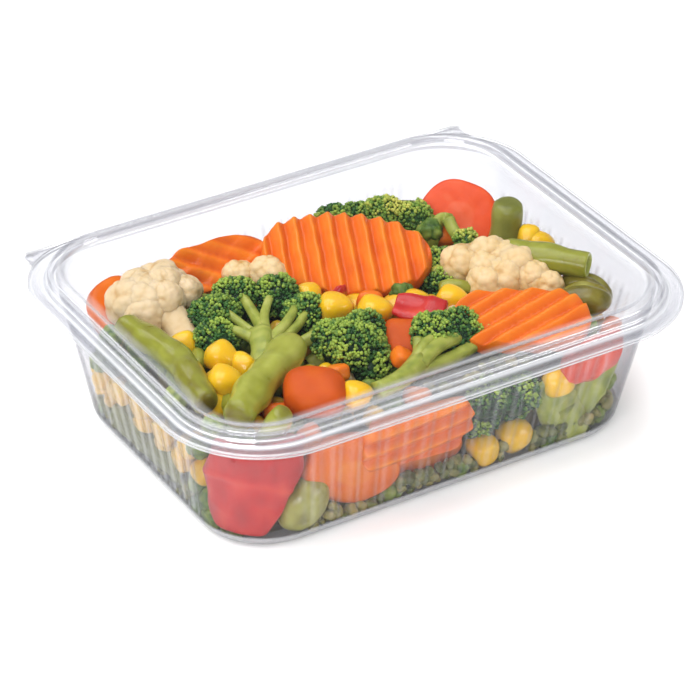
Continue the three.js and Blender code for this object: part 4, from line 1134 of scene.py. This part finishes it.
def crumb_places(trees, taken, seed):
    """Places for crumbs in the gaps along the tray's bottom edge and on the core, clear of what lies there."""
    rng = np.random.default_rng(seed)
    rings = [wall_ring(z, inset, rng.uniform(0, 3), CRUMBS["ring_step"]) for z, inset in CRUMB_RINGS]
    step = CRUMBS["grid_step"]
    x, y = (g.ravel() for g in np.meshgrid(np.arange(-66, 66, step), np.arange(-46, 46, step)))
    found = np.concatenate([*rings, stacked(x, y, heap_top(x, y) + CRUMBS["above"])])
    found = found + rng.normal(scale=0.5, size=found.shape) * [1, 1, 0.6]
    apart = [np.min(np.linalg.norm(taken - place, axis=1)) > CRUMBS["apart"] for place in found]
    return np.array([place for place, free in zip(found, apart) if free and is_clear(trees, place, CRUMB_GAP)])


def scatter(name, skin, places, rng, sizes, tones, material, slot):
    """Puts in a small skin at many places as one piece, each turned, sized and toned at random."""
    turns = facing(rng.normal(size=(len(places), 3)))
    made = copies(skin, turns, places, rng.uniform(*sizes, len(places)), rng.uniform(*tones, len(places)))
    to_mesh(name, made, material, slot, "box")


class TAKEAWAY_OT_heap(bpy.types.Operator):
    """Small loose vegetables that fill the box between the large pieces, over a core"""

    bl_idname = "takeaway.heap"
    bl_label = "Small vegetables"

    def execute(self, context):
        food = context.scene.takeaway_food
        core = vegetable("heap_core_flesh")
        to_mesh("heap_core", heap_core(), core, "mixed_vegetables", "box", ["vegetable_heap"])
        trees = piece_trees([n for n in frame["nodes"] if n not in ("tray", "lid", "vegetable_heap")])
        shown = [np.array(place, float) for _, place in SHOWN]
        places = free_places(trees, food.filling * 1000, food.seed, shown)
        rng = np.random.default_rng(food.seed + 1)
        # Each kind's name, one piece of it, its finish, its slot and its share of the places.
        green_bit = curd(0, 0, 0, 4.2, 7, 0.2, 40, 0.14, 401, 22, 30)
        cream_bit = curd(0, 0, 0, 4.0, 6, 0.16, 40, 0.08, 402, 20, 26)
        bean_cut = bean_pod(8.5, 3.3, 0.3, hollow=(False, False))
        kinds = [
            ("loose_maize", maize_kernel(8.8, rings=12, around=18), "cooked_maize", "corn", 0.26),
            ("loose_carrot", chunk(8.2, 7.4, 6.4, 3.4, 5, 14, 20), "diced_carrot", "carrot", 0.22),
            ("loose_bean_cuts", bean_cut, "sliced_green_bean", "bean", 0.14),
            ("loose_green_bits", green_bit, "broccoli_bits", "broccoli", 0.22),
            ("loose_cream_bits", cream_bit, "cauliflower_bits", "cauliflower", 0.1),
            ("loose_pepper", pepper_strip(9, 7, 2.4, 6), "cooked_red_pepper", "pepper", 0.06),
        ]
        names = [kind[0] for kind in kinds]
        chosen = rng.choice(len(kinds), len(places), p=[kind[4] for kind in kinds])
        maize, green = names.index("loose_maize"), names.index("loose_green_bits")
        x, y, z = places.T
        left = x < LEFT_BAND["past"]
        in_band = np.abs(z - (LEFT_BAND["height"] + LEFT_BAND["lean"] * y)) < LEFT_BAND["half"]
        chosen[left] = np.where(in_band, maize, green)[left]
        chosen[(y < FRONT_GREENS["past"]) & (z < FRONT_GREENS["below"])] = green
        chosen[: len(SHOWN)] = [names.index(name) for name, _ in SHOWN]
        for k, (name, skin, finish, slot, _) in enumerate(kinds):
            scatter(name, skin, places[chosen == k], rng, LOOSE_SIZES, LOOSE_TONES, vegetable(finish), slot)
        crumb = curd(0, 0, 0, 2.2, 5, 0.26, 16, 0.2, 403, 12, 16)
        at = crumb_places(trees, places, food.seed + 2)
        murky = vegetable("vegetable_crumbs")
        scatter("vegetable_crumbs", crumb, at, rng, CRUMB_SIZES, CRUMB_TONES, murky, "mixed_vegetables")
        return {"FINISHED"}


class TAKEAWAY_OT_stage(bpy.types.Operator):
    """White floor, soft studio light and the camera"""

    bl_idname = "takeaway.stage"
    bl_label = "Studio"

    def execute(self, context):
        scene = context.scene
        floor_mesh = bpy.data.meshes.new("floor")
        corners = [(-3, -3, 0), (3, -3, 0), (3, 3, 0), (-3, 3, 0)]
        floor_mesh.from_pydata(corners, [], [(0, 1, 2, 3)])
        floor = bpy.data.objects.new("floor", floor_mesh)
        scene.collection.objects.link(floor)
        # White studio paper, matt, so that the box's soft shadow fades out evenly.
        paper, tree, out = blank("white_studio_paper")
        board = node(tree, "BsdfPrincipled", {"Base Color": linear("F6F6F6"), "Roughness": 0.9})
        tree.links.new(board.outputs[0], out.inputs[0])
        floor_mesh.materials.append(paper)
        world = bpy.data.worlds.new("studio") if scene.world is None else scene.world
        scene.world = world
        world.use_nodes = True
        world.node_tree.nodes.clear()
        sky = node(world.node_tree, "Background", {"Color": (1, 1, 1, 1), "Strength": 0.48})
        end = node(world.node_tree, "OutputWorld")
        world.node_tree.links.new(sky.outputs[0], end.inputs[0])
        # Each lamp's name, place and size in metres, and power in watts. All of them face the food.
        lamps = [
            ("overhead", (-0.35, 0.25, 1.35), (1.9, 1.9), 38.0),
            ("front_left", (-1.1, -0.9, 0.75), (0.9, 0.6), 15.0),
            ("front_right", (0.9, -1.0, 0.6), (0.6, 0.4), 5.0),
        ]
        for name, at, size, watts in lamps:
            data = bpy.data.lights.new(name, "AREA")
            data.shape, data.size, data.size_y, data.energy = "RECTANGLE", *size, watts
            lamp = bpy.data.objects.new(name, data)
            lamp.location = at
            lamp.rotation_euler = (Vector((0, 0, 0.03)) - Vector(at)).to_track_quat("-Z", "Y").to_euler()
            scene.collection.objects.link(lamp)
        place_camera(scene)
        scene.view_settings.view_transform = "Standard"
        scene.cycles.transparent_max_bounces = 32
        return {"FINISHED"}


def place_camera(scene):
    """The camera as it was worked out from the box's corners in the photograph: 31 degrees to the left
    of the long front side, 32.5 degrees above the floor and 1.15 m away, with a 180 mm lens."""
    azimuth, elevation = np.radians((-31.3, 32.5))
    away, right_shift, up_shift, aim_height = 1145.6, -1.6, -5.3, 30
    back = np.array([np.sin(azimuth) * np.cos(elevation), -np.cos(azimuth) * np.cos(elevation), np.sin(elevation)])
    right = np.array([np.cos(azimuth), np.sin(azimuth), 0])
    up = np.cross(back, right)
    place = right * right_shift + up * up_shift + (0, CENTRE_Y, aim_height) + back * away
    data = bpy.data.cameras.new("camera")
    data.lens, data.sensor_width = 180, 36
    data.clip_start, data.clip_end = 0.05, 20
    camera = bpy.data.objects.new("camera", data)
    turn = Matrix(np.stack([right, up, back], -1).tolist())
    camera.matrix_world = Matrix.Translation(place * MM) @ turn.to_4x4()
    scene.collection.objects.link(camera)
    scene.camera = camera


STEPS = (
    TAKEAWAY_OT_tray, TAKEAWAY_OT_lid, TAKEAWAY_OT_carrots, TAKEAWAY_OT_beans, TAKEAWAY_OT_broccoli,
    TAKEAWAY_OT_cauliflower, TAKEAWAY_OT_maize, TAKEAWAY_OT_peppers, TAKEAWAY_OT_olives, TAKEAWAY_OT_heap,
    TAKEAWAY_OT_stage,
)


class TAKEAWAY_PT_panel(bpy.types.Panel):
    """Lists the steps that build the box and its food"""

    bl_label = "Takeaway box"
    bl_idname = "TAKEAWAY_PT_panel"
    bl_space_type = "VIEW_3D"
    bl_region_type = "UI"
    bl_category = "Takeaway box"

    def draw(self, context):
        for group in (context.scene.takeaway_box, context.scene.takeaway_food):
            for name in group.__annotations__:
                self.layout.prop(group, name)
        for step in STEPS:
            self.layout.operator(step.bl_idname)


CLASSES = (TAKEAWAY_PG_box, TAKEAWAY_PG_food, *STEPS, TAKEAWAY_PT_panel)


def register():
    for cls in CLASSES:
        bpy.utils.register_class(cls)
    bpy.types.Scene.takeaway_box = PointerProperty(type=TAKEAWAY_PG_box)
    bpy.types.Scene.takeaway_food = PointerProperty(type=TAKEAWAY_PG_food)


def unregister():
    del bpy.types.Scene.takeaway_food
    del bpy.types.Scene.takeaway_box
    for cls in reversed(CLASSES):
        bpy.utils.unregister_class(cls)


def main():
    """Builds everything in order and keeps the CAD box."""
    register()
    for step in STEPS:
        group, name = step.bl_idname.split(".")
        getattr(getattr(bpy.ops, group), name)()


if __name__ == "__main__":
    main()
